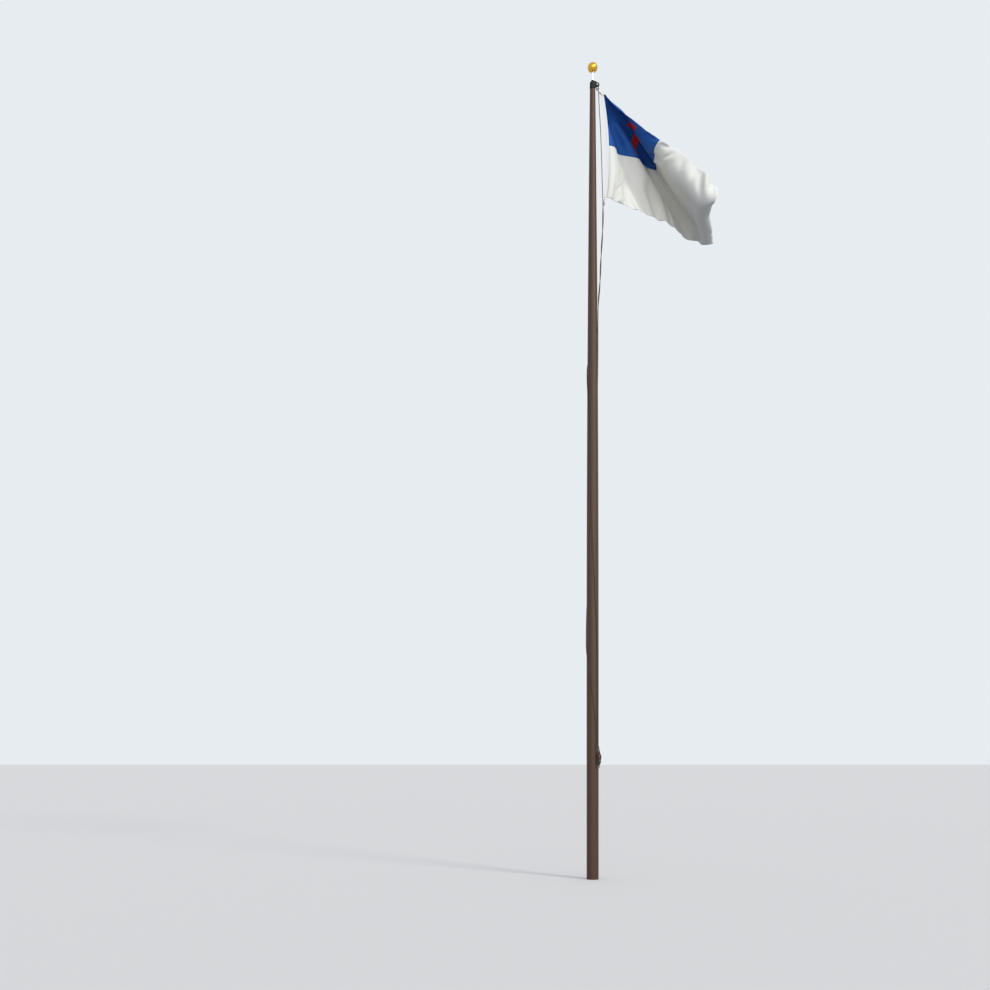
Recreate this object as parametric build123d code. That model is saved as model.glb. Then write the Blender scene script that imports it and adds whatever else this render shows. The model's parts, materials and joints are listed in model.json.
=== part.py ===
from build123d import *
import os
from bisect import bisect
from math import atan2, comb, cos, hypot, pi, radians, sin

# A ground-set aluminium flagpole: a tapered tube with a revolving truck, a ball finial,
# an outside halyard tied off at a cleat, and a flag that hangs from two snap hooks.
# Millimetres. The origin is the middle of the foot at ground level, +Z is up,
# and the flag flies towards +X.

# Tapered shaft
exposed_height = 9144.0
butt_radius = 69.85
top_radius = 31.75
shaft_wall = 4.8
straight_length = 2600.0

# Rope
rope_radius = 4.0
rope_gap = 0.6
rope_seat = 0.3

# Truck
flange_radius = 33.0
flange_thickness = 7.0
plug_length = 45.0
plug_gap = 0.15
spindle_radius = 8.0
fit_gap = 0.02
running_gap = 0.05
washer_radius = 24.0
washer_thickness = 3.0
seat_gap = 0.3
head_radius = 33.5
head_skirt = 60.0
head_height = 93.0
head_top_radius = 15.0
head_bore_radius = 11.0
head_edge = 2.5
set_screw_radius = 3.0
set_screw_drop = 22.0
set_screw_count = 3

# Sheave
sheave_x = 54.0
sheave_drop = 50.0
sheave_pitch_radius = 14.5
sheave_radius = 18.5
sheave_width = 11.0
sheave_bore_radius = 6.5
groove_flare = 0.5
side_play = 1.0
sheave_clearance = 1.5
housing_wall = 4.0
cheek_thickness = 5.0
pin_radius = 4.0
pin_head_radius = 7.5
pin_head_thickness = 4.0
pin_nut_across_flats = 13.0
pin_nut_thickness = 6.5

# Ball finial
ball_radius = 58.0
ball_wall = 1.6
ball_boss_radius = 14.0
ball_boss_length = 20.0
stem_radius = 11.0
stem_flare_radius = 17.0
stem_height = 89.0
stem_flare_length = 14.0
stem_socket_depth = 44.0
stud_radius = 6.35
stud_length = 42.0

# Cleat
cleat_azimuth = -52.0
cleat_height = 1395.0
cleat_reach = 38.0
cleat_half_length = 104.0
cleat_tip_lift = 5.0
horn_root_radius = 7.5
horn_middle_radius = 6.4
horn_tip_radius = 4.0
pedestal_half_height = 27.0
pedestal_width = 13.0
saddle_half_height = 52.0
saddle_width = 24.0
saddle_thickness = 7.0
cleat_screw_radius = 3.2
cleat_screw_offset = 17.0
cleat_screw_head_radius = 5.5
cleat_screw_head_height = 3.0

# Snap hooks and grommets
snap_eye_radius = 8.0
snap_wire_radius = 2.5
snap_length = 88.0
snap_barrel_radius = 5.0
snap_barrel_length = 16.0
snap_overlap = 1.25
hook_half_width = 9.0
hook_wire_radius = 2.8
hook_roundness = 0.95
hook_bend_room = 0.95
cover_neck_radius = 7.5
cover_half_width = 14.0
cover_half_thickness = 6.5
cover_shoulder = 15.0
cover_length = 36.0
cover_wire_gap = 0.4
splice_radius = 9.5
grommet_hole_radius = 6.0
grommet_radius = 11.0
grommet_barrel_wall = 1.4
grommet_flange = 0.8

# Flag
flag_hoist = 1219.0
flag_fly = 1829.0
header_width = 32.0
header_thickness = 3.0
seam_gap = 0.9
hem_gap = 0.95
cloth_thickness = 2.4
canton_hoist_share = 0.5
canton_fly_share = 0.47
grommet_inset = 18.0
header_bow = 46.0
header_top = (108.0, -18.0, exposed_height - 64)
header_foot = (144.0, -10.0, exposed_height - 1257)
# The cloth fans out in straight rays from its top corner, from the hoist round to the top edge:
# each ray's angle seen from the front, and the angle by which it leans away from the front
ray_angles = (
    (-88, 0), (-84, 1.5), (-79, 7), (-74.5, 15), (-70, 20), (-66, 18), (-62.5, 14), (-59.5, 12.5), (-56, 14),
    (-52, 18.5), (-48.5, 24), (-46.5, 27), (-46, 25), (-47, 19), (-48.5, 9), (-48.5, 1), (-47, -3), (-44.5, -3),
    (-41, -1),
)
ray_steps = 20
hoist_reach = 0.6
# The degree of the cloth's one smooth surface along the fly and down the hoist
cloth_degrees = (16, 10)

# Where the two halyard legs meet the shaft, and where their twist ends
pair_contact_height = exposed_height - 2744
pair_twists = 2
pair_twist_base = exposed_height - 2524
pair_steps = 3
joint_run = 25.0
# Height and azimuth in degrees from +X towards +Y, as the wind has wound them
wraps_top = pair_contact_height - joint_run
wraps_foot = cleat_height + 235
wraps_a = ((wraps_top, 4), (5830, 180), (4860, 233), (3587, 277), (2765, 309), (2300, 315), (wraps_foot, 315))
wraps_b = (
    (wraps_top, -4), (4700, 70), (2720, 180), (2453, 233), (2117, 268), (wraps_foot + 106, 297), (wraps_foot, 301)
)
# The middle of the down leg from the sheave, and of the twisted pair from the lower snap to the shaft:
# across, back, and how far below the shaft's top
leg_route = (
    (70, 5, 36), (73, 6, 134), (79, 6.5, 244), (87, 7, 364), (94, 8, 504), (99.6, 9.4, 644), (104, 11, 784),
    (108.5, 12, 924), (112, 13, 1054), (116, 13.6, 1174), (120, 13.2, 1274),
)
pair_route = (
    (121, 8, 1354), (121, 8, 1444), (119.5, 7, 1554), (115, 6, 1664), (108, 5, 1774), (101, 4, 1884),
    (95.5, 3, 1994), (91, 3, 2104), (86.5, 2, 2214), (79, 1, 2324), (69, 0, 2424), (64, 0, 2524),
    (62.3, 0, 2634), (61.75, 0, 2743.5),
)

os.makedirs("parts", exist_ok=True)

truck_base = exposed_height + flange_thickness
head_base = truck_base + washer_thickness + seat_gap
head_top = head_base + head_height
sheave_z = head_top - sheave_drop
slot_radius = sheave_radius + sheave_clearance
slot_width = sheave_width + 2 * side_play
housing_radius = slot_radius + housing_wall
arm_width = slot_width + 2 * cheek_thickness
stem_base = head_top + seat_gap
ball_z = stem_base + stem_height + ball_radius


def shaft_radius(z):
    """The outer radius of the shaft, straight at the butt and then falling away in a parabola."""
    climb = max(0.0, z - straight_length) / (exposed_height - straight_length)
    return butt_radius - (butt_radius - top_radius) * climb**2


def shaft_point(z, azimuth, out):
    """A point beside the shaft, a distance out from its surface."""
    r = shaft_radius(z) + out
    return (r * cos(radians(azimuth)), r * sin(radians(azimuth)), z)


def turned(*points):
    """A solid turned about Z from corners given as radius and height."""
    return revolve(Plane.XZ * make_face(Polyline(*points, close=True)), Axis.Z)


def along_y(solid, x, z):
    """A piece turned about Z, laid along Y at a place in the sheave's plane."""
    return Pos(x, 0, z) * Rot(-90, 0, 0) * solid


def at_cleat(piece):
    """From the cleat's own frame, X out from the shaft's surface, to its place."""
    return Rot(0, 0, cleat_azimuth) * Pos(butt_radius, 0, cleat_height) * piece


def make_shaft():
    middle = (straight_length + exposed_height) / 2
    bore_radius = butt_radius - shaft_wall
    bore_top_radius = top_radius - shaft_wall
    outline = [
        Line((butt_radius, 0), (butt_radius, straight_length)),
        Bezier((butt_radius, straight_length), (butt_radius, middle), (top_radius, exposed_height)),
        Line((top_radius, exposed_height), (bore_top_radius, exposed_height)),
        Bezier((bore_top_radius, exposed_height), (bore_radius, middle), (bore_radius, straight_length)),
        Line((bore_radius, straight_length), (bore_radius, 0)),
        Line((bore_radius, 0), (butt_radius, 0)),
    ]
    shaft = revolve(Plane.XZ * make_face(outline), Axis.Z)
    for turn in set_screw_turns():
        shaft -= turn * Cylinder(set_screw_radius + fit_gap, 4 * shaft_wall)
    for side in (-1, 1):
        place = Pos(0, 0, side * cleat_screw_offset) * Rot(0, 90, 0)
        shaft -= at_cleat(place * Cylinder(cleat_screw_radius + fit_gap, 4 * shaft_wall))
    return shaft


def set_screw_turns():
    """The places of the screws that hold the truck's plug in the shaft's top."""
    height = exposed_height - set_screw_drop
    reach = top_radius - shaft_wall / 2
    return [
        Rot(0, 0, 90 + 360 * i / set_screw_count) * Pos(reach, 0, height) * Rot(0, 90, 0)
        for i in range(set_screw_count)
    ]


def make_set_screws():
    return [turn * Cylinder(set_screw_radius, shaft_wall + 2 * plug_gap) for turn in set_screw_turns()]


def make_truck_plug():
    plug_radius = top_radius - shaft_wall - plug_gap
    bore = spindle_radius + fit_gap
    foot = exposed_height - plug_length
    plug = turned(
        (bore, foot), (plug_radius, foot), (plug_radius, exposed_height), (flange_radius, exposed_height),
        (flange_radius, truck_base), (bore, truck_base),
    )
    return plug


def make_truck_spindle():
    foot = exposed_height - plug_length
    top = stem_base + stem_socket_depth
    return turned((0, foot), (spindle_radius, foot), (spindle_radius, top), (0, top))


def make_thrust_washer():
    bore = spindle_radius + running_gap
    top = truck_base + washer_thickness
    return turned((bore, truck_base), (washer_radius, truck_base), (washer_radius, top), (bore, top))


def sheave_slot():
    """The space that the sheave turns in, open below for the two rope legs."""
    outline = Pos(sheave_x, sheave_z) * Circle(slot_radius)
    outline += Pos(sheave_x, sheave_z - slot_radius) * Rectangle(2 * slot_radius, 2 * slot_radius)
    return extrude(Plane.XZ * outline, slot_width / 2, both=True)


def make_truck_head():
    shoulder = head_base + head_skirt
    body = turned(
        (head_bore_radius, head_base), (head_radius, head_base), (head_radius, shoulder),
        (head_top_radius, head_top), (head_bore_radius, head_top),
    )
    nose = Pos(sheave_x, sheave_z) * Circle(housing_radius)
    crown = Pos(0, head_top - head_top_radius) * Circle(head_top_radius)
    root = Pos(0, head_base + head_top_radius) * Circle(head_top_radius)
    arm_outline = make_hull((nose + crown + root).edges())
    arm = extrude(Plane.XZ * arm_outline, arm_width / 2, both=True)
    arm = fillet(arm.edges().filter_by(Plane.XZ), head_edge)
    bore = Pos(0, 0, head_base + head_height / 2) * Cylinder(head_bore_radius, 2 * head_height)
    pin_hole = along_y(Cylinder(pin_radius + fit_gap, 2 * arm_width), sheave_x, sheave_z)
    return body + arm - bore - sheave_slot() - pin_hole


def make_truck_bushing():
    bore = spindle_radius + running_gap
    return turned((bore, head_base), (head_bore_radius, head_base), (head_bore_radius, head_top), (bore, head_top))


def make_sheave():
    half = sheave_width / 2
    groove_radius = rope_radius + rope_seat
    section = Pos((sheave_bore_radius + sheave_radius) / 2, 0) * Rectangle(
        sheave_radius - sheave_bore_radius, 2 * half
    )
    section -= Pos(sheave_pitch_radius, 0) * Circle(groove_radius)
    rim = sheave_radius + groove_flare
    flank = Polyline(
        (sheave_pitch_radius, -groove_radius), (rim, -groove_radius - groove_flare),
        (rim, groove_radius + groove_flare), (sheave_pitch_radius, groove_radius), close=True,
    )
    section -= make_face(flank)
    return along_y(revolve(Plane.XZ * section, Axis.Z), sheave_x, sheave_z)


def make_sheave_bushing():
    half = sheave_width / 2 + side_play / 2
    outer = sheave_bore_radius - fit_gap
    bush = turned((pin_radius + running_gap, -half), (outer, -half), (outer, half), (pin_radius + running_gap, half))
    return along_y(bush, sheave_x, sheave_z)


def make_sheave_pin():
    side = arm_width / 2
    end = side + pin_nut_thickness + 2
    pin = turned(
        (0, -side - pin_head_thickness), (pin_head_radius, -side - pin_head_thickness),
        (pin_head_radius, -side), (pin_radius, -side), (pin_radius, end), (0, end),
    )
    return along_y(pin, sheave_x, sheave_z)


def make_sheave_pin_nut():
    side = arm_width / 2
    hexagon = RegularPolygon(pin_nut_across_flats / 2, 6, major_radius=False) - Circle(pin_radius + fit_gap)
    return along_y(Pos(0, 0, side) * extrude(hexagon, pin_nut_thickness), sheave_x, sheave_z)


def make_ball_stem():
    top = ball_z - ball_radius - seat_gap
    neck = top - stem_flare_length
    return turned(
        (spindle_radius + fit_gap, stem_base), (stem_radius, stem_base), (stem_radius, neck),
        (stem_flare_radius, top - 3), (stem_flare_radius, top), (stud_radius, top),
        (stud_radius, top + stud_length), (0, top + stud_length), (0, stem_base + stem_socket_depth),
        (spindle_radius + fit_gap, stem_base + stem_socket_depth),
    )


def ball_shell():
    return Pos(0, 0, ball_z) * (Sphere(ball_radius) - Sphere(ball_radius - ball_wall))


def half_space(upper):
    size = 4 * ball_radius
    return Pos(0, 0, ball_z + (size / 2 if upper else -size / 2)) * Box(size, size, size)


def make_ball_lower():
    foot = ball_z - ball_radius
    boss = Pos(0, 0, foot + ball_wall / 2 + ball_boss_length / 2) * Cylinder(ball_boss_radius, ball_boss_length)
    inside = Pos(0, 0, ball_z) * Sphere(ball_radius - ball_wall / 2)
    hole = Pos(0, 0, foot) * Cylinder(stud_radius + fit_gap, 4 * ball_boss_length)
    return (ball_shell() & half_space(False)) + (boss & inside) - hole


def make_ball_upper():
    return ball_shell() & half_space(True)


def horn_section(height):
    """The horn's middle and radius at a height from the cleat's middle."""
    share = abs(height) / cleat_half_length
    lift = cleat_tip_lift * share**2
    if share < 0.55:
        radius = horn_root_radius + (horn_middle_radius - horn_root_radius) * share / 0.55
    else:
        radius = horn_middle_radius + (horn_tip_radius - horn_middle_radius) * (share - 0.55) / 0.45
    return cleat_reach + lift, radius


def make_cleat():
    heights = [cleat_half_length * share for share in (-1, -0.55, 0, 0.55, 1)]
    sections = []
    for height in heights:
        reach, radius = horn_section(height)
        sections.append(Pos(reach, 0, height) * Circle(radius))
    bar = loft(sections)
    for side in (-1, 1):
        reach, radius = horn_section(side * cleat_half_length)
        bar += Pos(reach, 0, side * cleat_half_length) * Sphere(radius)
    depth = cleat_reach + butt_radius
    pedestal = Pos(cleat_reach - depth / 2, 0, 0) * Box(depth, pedestal_width, 2 * pedestal_half_height)
    saddle_depth = butt_radius + saddle_thickness
    saddle = Pos(saddle_thickness - saddle_depth / 2, 0, 0) * Box(
        saddle_depth, saddle_width, 2 * saddle_half_height
    )
    saddle = fillet(saddle.edges().filter_by(Axis.X), saddle_width / 3)
    shaft_space = Pos(-butt_radius, 0, 0) * Cylinder(butt_radius + running_gap, 8 * cleat_half_length)
    inner_side = Pos(-2 * butt_radius, 0, 0) * Box(2 * butt_radius, 400, 8 * cleat_half_length)
    cleat = bar + pedestal + saddle - shaft_space - inner_side
    for side in (-1, 1):
        place = Pos(0, 0, side * cleat_screw_offset) * Rot(0, 90, 0)
        cleat -= place * Cylinder(cleat_screw_radius + fit_gap, 4 * cleat_reach)
    return at_cleat(cleat)


def make_cleat_screws():
    screws = []
    front = horn_section(cleat_screw_offset)[0] + horn_root_radius
    for side in (-1, 1):
        screw = turned(
            (0, -shaft_wall), (cleat_screw_radius, -shaft_wall), (cleat_screw_radius, front),
            (cleat_screw_head_radius, front), (cleat_screw_head_radius, front + cleat_screw_head_height / 2),
            (cleat_screw_head_radius / 2, front + cleat_screw_head_height), (0, front + cleat_screw_head_height),
        )
        screws.append(at_cleat(Pos(0, 0, side * cleat_screw_offset) * Rot(0, 90, 0) * screw))
    return screws


def bend_radii(points, bends):
    """A radius for each corner of a rope, as large as its two runs allow, or a bend's own."""
    radii = []
    for i in range(1, len(points) - 1):
        before = Vector(points[i]) - Vector(points[i - 1])
        after = Vector(points[i + 1]) - Vector(points[i])
        half_turn = radians(before.get_angle(after)) / 2
        widest = 0.45 * min(before.length, after.length) / max(1e-6, sin(half_turn) / cos(half_turn))
        radii.append(bends.get(i, widest))
    return radii


def make_rope(name, points, bends=None):
    """A round rope along straight runs joined by tangent arcs."""
    radii = bend_radii(points, bends or {})
    path = FilletPolyline(*points, radius=radii)
    start = Vector(points[0])
    section = Plane(origin=start, z_dir=Vector(points[1]) - start) * Circle(rope_radius)
    rope = sweep(section, path=path)
    expected = pi * rope_radius**2 * path.length
    print(f"{name}: {path.length:.0f} mm, volume {rope.volume / expected:.4f} of section times length,"
          f" bends from {min(radii):.0f} to {max(radii):.0f} mm")
    return rope


def smooth_azimuth(stations, z):
    """The rope's azimuth at a height, easing through its stations without a kink."""
    for i in range(len(stations) - 1):
        (z0, a0), (z1, a1) = stations[i], stations[i + 1]
        if z >= z1 or i == len(stations) - 2:
            break
    before = stations[i - 1] if i else stations[i]
    after = stations[i + 2] if i + 2 < len(stations) else stations[i + 1]
    slope0 = (a1 - before[1]) / (z1 - before[0])
    slope1 = (after[1] - a0) / (after[0] - z0)
    share = (z - z0) / (z1 - z0)
    span = z1 - z0
    return (
        (2 * share**3 - 3 * share**2 + 1) * a0 + (share**3 - 2 * share**2 + share) * span * slope0
        + (3 * share**2 - 2 * share**3) * a1 + (share**3 - share**2) * span * slope1
    )


def wrap_points(stations):
    """The rope's points down the shaft, closer together where it winds fast."""
    top, foot = stations[0][0], stations[-1][0]
    z = last = top
    azimuth = stations[0][1]
    out = rope_radius + rope_gap
    points = [shaft_point(top + joint_run, azimuth, out), shaft_point(top, azimuth, out)]
    step = 5
    while z - step > foot:
        z -= step
        now = smooth_azimuth(stations, z)
        if abs(now - azimuth) >= 10 or last - z >= 160:
            points.append(shaft_point(z, now, out))
            azimuth, last = now, z
    if last - foot < 60:
        points.pop()
    azimuth = stations[-1][1]
    return points + [shaft_point(foot, azimuth, out), shaft_point(foot - joint_run, azimuth, out)]


def cleat_point(across, height, out):
    """A point in the cleat's own frame, with across along the shaft's surface."""
    turn = radians(cleat_azimuth)
    r = butt_radius + out
    return (r * cos(turn) - across * sin(turn), r * sin(turn) + across * cos(turn), cleat_height + height)


def cleat_turn_points(foot_a, foot_b):
    """One rope down from leg A, in figure eights round the horns, and up again as leg B."""
    side, wide, behind, front = 11, 13, 27, 44
    near, far = 57, 68
    clear = cleat_reach + horn_root_radius + cleat_screw_head_height + rope_radius + rope_seat
    crossing = [clear + i * (2 * rope_radius + 1) for i in range(3)]
    half_cross, half_rise = 6, 20
    route = [(19, 130, 14), (24, 62, 31), (23, -2, 42)]

    def round_horn(height):
        inner = height - 8 if height > 0 else height + 8
        return [(wide, inner, front), (side, height, behind), (-side, height, behind), (-wide, inner, front)]

    route += round_horn(-near)
    route += [(-half_cross, -half_rise, crossing[0]), (half_cross, half_rise, crossing[0] + 1)]
    route += round_horn(near)
    route += [(-half_cross, half_rise, crossing[1]), (half_cross, -half_rise, crossing[1] + 1)]
    route += round_horn(-far)
    route += [(-half_cross, -half_rise, crossing[2]), (half_cross, half_rise, crossing[2] + 1)]
    route += round_horn(far)[:2] + [(-side - 2, far + 2, behind), (-20, 112, 20)]
    lead_a = (foot_a[0], foot_a[1], foot_a[2] - joint_run)
    lead_b = (foot_b[0], foot_b[1], foot_b[2] - joint_run)
    return [foot_a, lead_a] + [cleat_point(*p) for p in route] + [lead_b, foot_b]


def hoist_middle(share):
    """The middle of the header at a share of its length down from the top."""
    bow = header_bow * 4 * share * (1 - share)
    return tuple(
        header_top[i] + (header_foot[i] - header_top[i]) * share + (bow if i == 0 else 0) for i in range(3)
    )


def grommet_place(upper):
    inset = grommet_inset / flag_hoist
    x, y, z = hoist_middle(inset if upper else 1 - inset)
    return Vector(x, y, z)


def snap_plane(grommet, eye_way):
    """The snap's own frame: Z from its swivel eye to the grommet, Y near the cloth's normal."""
    z_dir = -Vector(*eye_way).normalized()
    x_dir = Vector(0, 1, 0).cross(z_dir)
    bearing = grommet_hole_radius - hook_wire_radius - seat_gap - hook_bend_room
    return Plane(origin=grommet - z_dir * (snap_length + bearing), x_dir=x_dir, z_dir=z_dir)


def make_snap_eye():
    eye = Pos(0, 0, snap_eye_radius) * Rot(0, 90, 0) * Torus(snap_eye_radius, snap_wire_radius)
    start = 2 * snap_eye_radius - snap_overlap
    barrel = Pos(0, 0, start + snap_barrel_length / 2) * Cylinder(snap_barrel_radius, snap_barrel_length)
    return eye + barrel


def make_snap_hook():
    near = barrel_end() + seat_gap + hook_wire_radius
    path = FilletPolyline(
        (0, -hook_half_width, near), (0, -hook_half_width, snap_length),
        (0, hook_half_width, snap_length), (0, hook_half_width, near),
        radius=hook_half_width * hook_roundness, close=True,
    )
    section = Plane(origin=path @ 0, z_dir=path % 0) * Circle(hook_wire_radius)
    return sweep(section, path=path)


def barrel_end():
    return 2 * snap_eye_radius - snap_overlap + snap_barrel_length


def make_snap_cover():
    """A soft boot over the barrel and the hook's shank, open where the hook comes out."""
    foot = 2 * snap_eye_radius + snap_wire_radius + seat_gap
    shoulder = foot + cover_shoulder
    mouth = foot + cover_length
    wide = Pos(0, 0, shoulder) * Ellipse(cover_half_thickness, cover_half_width)
    outside = loft([Pos(0, 0, foot) * Circle(cover_neck_radius), wide]) + extrude(wide, mouth - shoulder)
    bore = Pos(0, 0, foot) * Cylinder(snap_barrel_radius + cover_wire_gap, 2 * snap_barrel_length)
    pocket_width = 2 * (hook_half_width + hook_wire_radius + cover_wire_gap)
    pocket_thickness = 2 * (hook_wire_radius + cover_wire_gap)
    pocket_depth = mouth - barrel_end()
    pocket = Pos(0, 0, barrel_end() + pocket_depth / 2 + 1) * Box(pocket_thickness, pocket_width, pocket_depth + 2)
    return outside - bore - pocket


def stations(low, high, degree):
    """Shares from low to high, closer together at the ends, where a surface is to pass through."""
    return [low + (high - low) * (1 - cos(pi * i / degree)) / 2 for i in range(degree + 1)]


def pole_weights(degree):
    """For each pole of a Bezier curve, its weights for the points that the curve passes at its stations."""
    size = degree + 1
    rows = []
    for k, u in enumerate(stations(0, 1, degree)):
        share = [comb(degree, i) * u**i * (1 - u) ** (degree - i) for i in range(size)]
        rows.append(share + [float(i == k) for i in range(size)])
    for i in range(size):
        largest = max(range(i, size), key=lambda r: abs(rows[r][i]))
        rows[i], rows[largest] = rows[largest], rows[i]
        rows[i] = [value / rows[i][i] for value in rows[i]]
        for r in range(size):
            if r != i:
                factor = rows[r][i]
                rows[r] = [a - factor * b for a, b in zip(rows[r], rows[i])]
    return [row[size:] for row in rows]


def blended(weights, points):
    total = Vector(0, 0, 0)
    for weight, point in zip(weights, points):
        total += point * weight
    return total


def smooth_face(point_at, s_ends, t_ends):
    """One Bezier surface through a surface's points, between two shares each way."""
    along, down = cloth_degrees
    grid = [[point_at(s, t) for s in stations(*s_ends, along)] for t in stations(*t_ends, down)]
    across = [[blended(weights, row) for weights in pole_weights(along)] for row in grid]
    columns = list(zip(*across))
    poles = [[blended(weights, column) for column in columns] for weights in pole_weights(down)]
    return Face.make_bezier_surface(poles)


def closed_between(front, back):
    """A solid between two like faces, with a ruled rim along each pair of edges."""
    rims = []
    for edge in front.edges():
        middle = edge.position_at(0.5)
        partner = min(back.edges(), key=lambda other: (other.position_at(0.5) - middle).length)
        rims.append(Face.make_surface_from_curves(edge, partner))
    solid = Solid(Shell([front, back] + rims))
    return solid if solid.volume > 0 else -solid


def smooth_rays():
    """The rays' directions, smoothed by a cubic B-spline, and the turn from the first ray to each."""
    first, last = ([2 * a - b for a, b in zip(ray_angles[i], ray_angles[j])] for i, j in ((0, 1), (-1, -2)))
    knots = [first, *ray_angles, last]
    rays = []
    for i in range(len(ray_angles) - 1):
        for j in range(ray_steps + 1 if i == len(ray_angles) - 2 else ray_steps):
            u = j / ray_steps
            weights = ((1 - u)**3, 3 * u**3 - 6 * u**2 + 4, -3 * u**3 + 3 * u**2 + 3 * u + 1, u**3)
            angle, lean = (
                radians(sum(weight * knots[i + k][axis] for k, weight in enumerate(weights)) / 6) for axis in (0, 1)
            )
            rays.append(Vector(cos(lean) * cos(angle), sin(lean), cos(lean) * sin(angle)))
    turns = [0.0]
    for before, after in zip(rays, rays[1:]):
        turns.append(turns[-1] + (after - before).length)
    return rays, turns


rays, ray_turns = smooth_rays()


def cloth_ray(share):
    """The ray's direction at a share of the turn from the hoist round to the top edge."""
    turn = share * ray_turns[-1]
    i = max(0, min(len(rays) - 2, bisect(ray_turns, turn) - 1))
    return rays[i] + (rays[i + 1] - rays[i]) * ((turn - ray_turns[i]) / (ray_turns[i + 1] - ray_turns[i]))


def fanned_point(s, t):
    """The fanned cloth at a share along the fly from the header and a share down the hoist."""
    along, down = max(0.0, flag_fly * s), max(0.0, flag_hoist * t)
    beside = Vector(header_width / 2 + hem_gap, 0, 0)
    corner = Vector(*hoist_middle(0)) + beside
    place = corner + cloth_ray(atan2(along, down) / (pi / 2)) * hypot(along, down)
    to_header = Vector(*hoist_middle(t)) + beside - corner - cloth_ray(0) * down
    return place + to_header * max(0.0, 1 - s / hoist_reach) ** 3


def make_cloth(s_ends, t_ends):
    """A panel of the cloth, with its two faces either side of the one smooth surface."""
    faces = []
    for side in (-0.5, 0.5):

        def beside_sheet(s, t):
            return cloth_sheet.position_at(t, s) + cloth_sheet.normal_at(t, s) * (side * cloth_thickness)

        faces.append(smooth_face(beside_sheet, s_ends, t_ends))
    return closed_between(*faces)


def make_header():
    faces = []
    for side in (-0.5, 0.5):
        rows = []
        for across in (-0.5, 0.5):
            ends = [Vector(*header_top), Vector(*header_foot)]
            middle = (ends[0] + ends[1]) / 2 + Vector(2 * header_bow, 0, 0)
            shift = Vector(header_width * across, header_thickness * side, 0)
            rows.append([point + shift for point in (ends[0], middle, ends[1])])
        faces.append(Face.make_bezier_surface(rows))
    solid = closed_between(*faces)
    for upper in (True, False):
        hole = Pos(*grommet_place(upper)) * Rot(90, 0, 0)
        solid -= hole * Cylinder(grommet_hole_radius + grommet_barrel_wall + running_gap, 8 * header_thickness)
    return solid


def make_grommet(upper):
    inner, barrel = grommet_hole_radius, grommet_hole_radius + grommet_barrel_wall
    half = header_thickness / 2 + 0.15
    outer = half + grommet_flange
    ring = turned(
        (inner, -outer), (grommet_radius, -outer), (grommet_radius, -half), (barrel, -half),
        (barrel, half), (grommet_radius, half), (grommet_radius, outer), (inner, outer),
    )
    return Pos(*grommet_place(upper)) * Rot(90, 0, 0) * ring


upper_grommet = grommet_place(True)
lower_grommet = grommet_place(False)
upper_snap = snap_plane(upper_grommet, (-53.2, 8.3, 69.7))
lower_snap = snap_plane(lower_grommet, (-19, 13, -90))


def splice(snap):
    """The rope's eye, passed through the snap's swivel eye."""
    middle = snap_wire_radius + rope_radius + rope_seat - splice_radius
    return snap * (Pos(0, 0, middle) * Rot(90, 0, 0) * Torus(splice_radius, rope_radius))


def below_top(route):
    """A route's points, from their drops below the shaft's top."""
    return [(x, y, exposed_height - drop) for x, y, drop in route]


inner_leg = sheave_x - sheave_pitch_radius
outer_leg = sheave_x + sheave_pitch_radius
crest = sheave_z + sheave_pitch_radius

splice_reach = 2 * splice_radius - snap_wire_radius - rope_radius
upper_splice_end = upper_snap.origin - upper_snap.z_dir * splice_reach
lower_splice_end = lower_snap.origin - lower_snap.z_dir * splice_reach

over_sheave = [
    tuple(upper_splice_end), (inner_leg, 0, sheave_z - 24), (inner_leg, 0, crest), (outer_leg, 0, crest),
    (outer_leg, 0, sheave_z - 24),
] + below_top(leg_route)


def pair_middles():
    """The pair's middle line, with steps between its points for the twist."""
    middles = []
    route = below_top(pair_route)
    for low, high in zip(route, route[1:]):
        steps = pair_steps if min(low[2], high[2]) >= pair_twist_base else 1
        for i in range(steps):
            middles.append([low[j] + (high[j] - low[j]) * i / steps for j in range(3)])
    return middles + [route[-1]]


def pair_points(side):
    """One rope of the pair, twisted round the other above where they lie on the shaft."""
    points = []
    top = exposed_height - pair_route[0][2]
    for x, y, z in pair_middles():
        climb = max(0.0, z - pair_twist_base) / (top - pair_twist_base)
        turn = 2 * pi * pair_twists * climb
        offset = side * (rope_radius + seat_gap)
        points.append((x + offset * sin(turn), y + offset * cos(turn), z))
    return [(points[0][0], points[0][1], points[0][2] + joint_run)] + points


cloth_sheet = smooth_face(fanned_point, (0, 1), (0, 1))
beyond_canton = canton_fly_share + seam_gap / flag_fly
below_canton = canton_hoist_share + seam_gap / flag_hoist

pair_a = pair_points(1)
pair_b = pair_points(-1)
joint_top = (pair_a[0][0], pair_a[0][1], pair_a[0][2] + joint_run)

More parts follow.
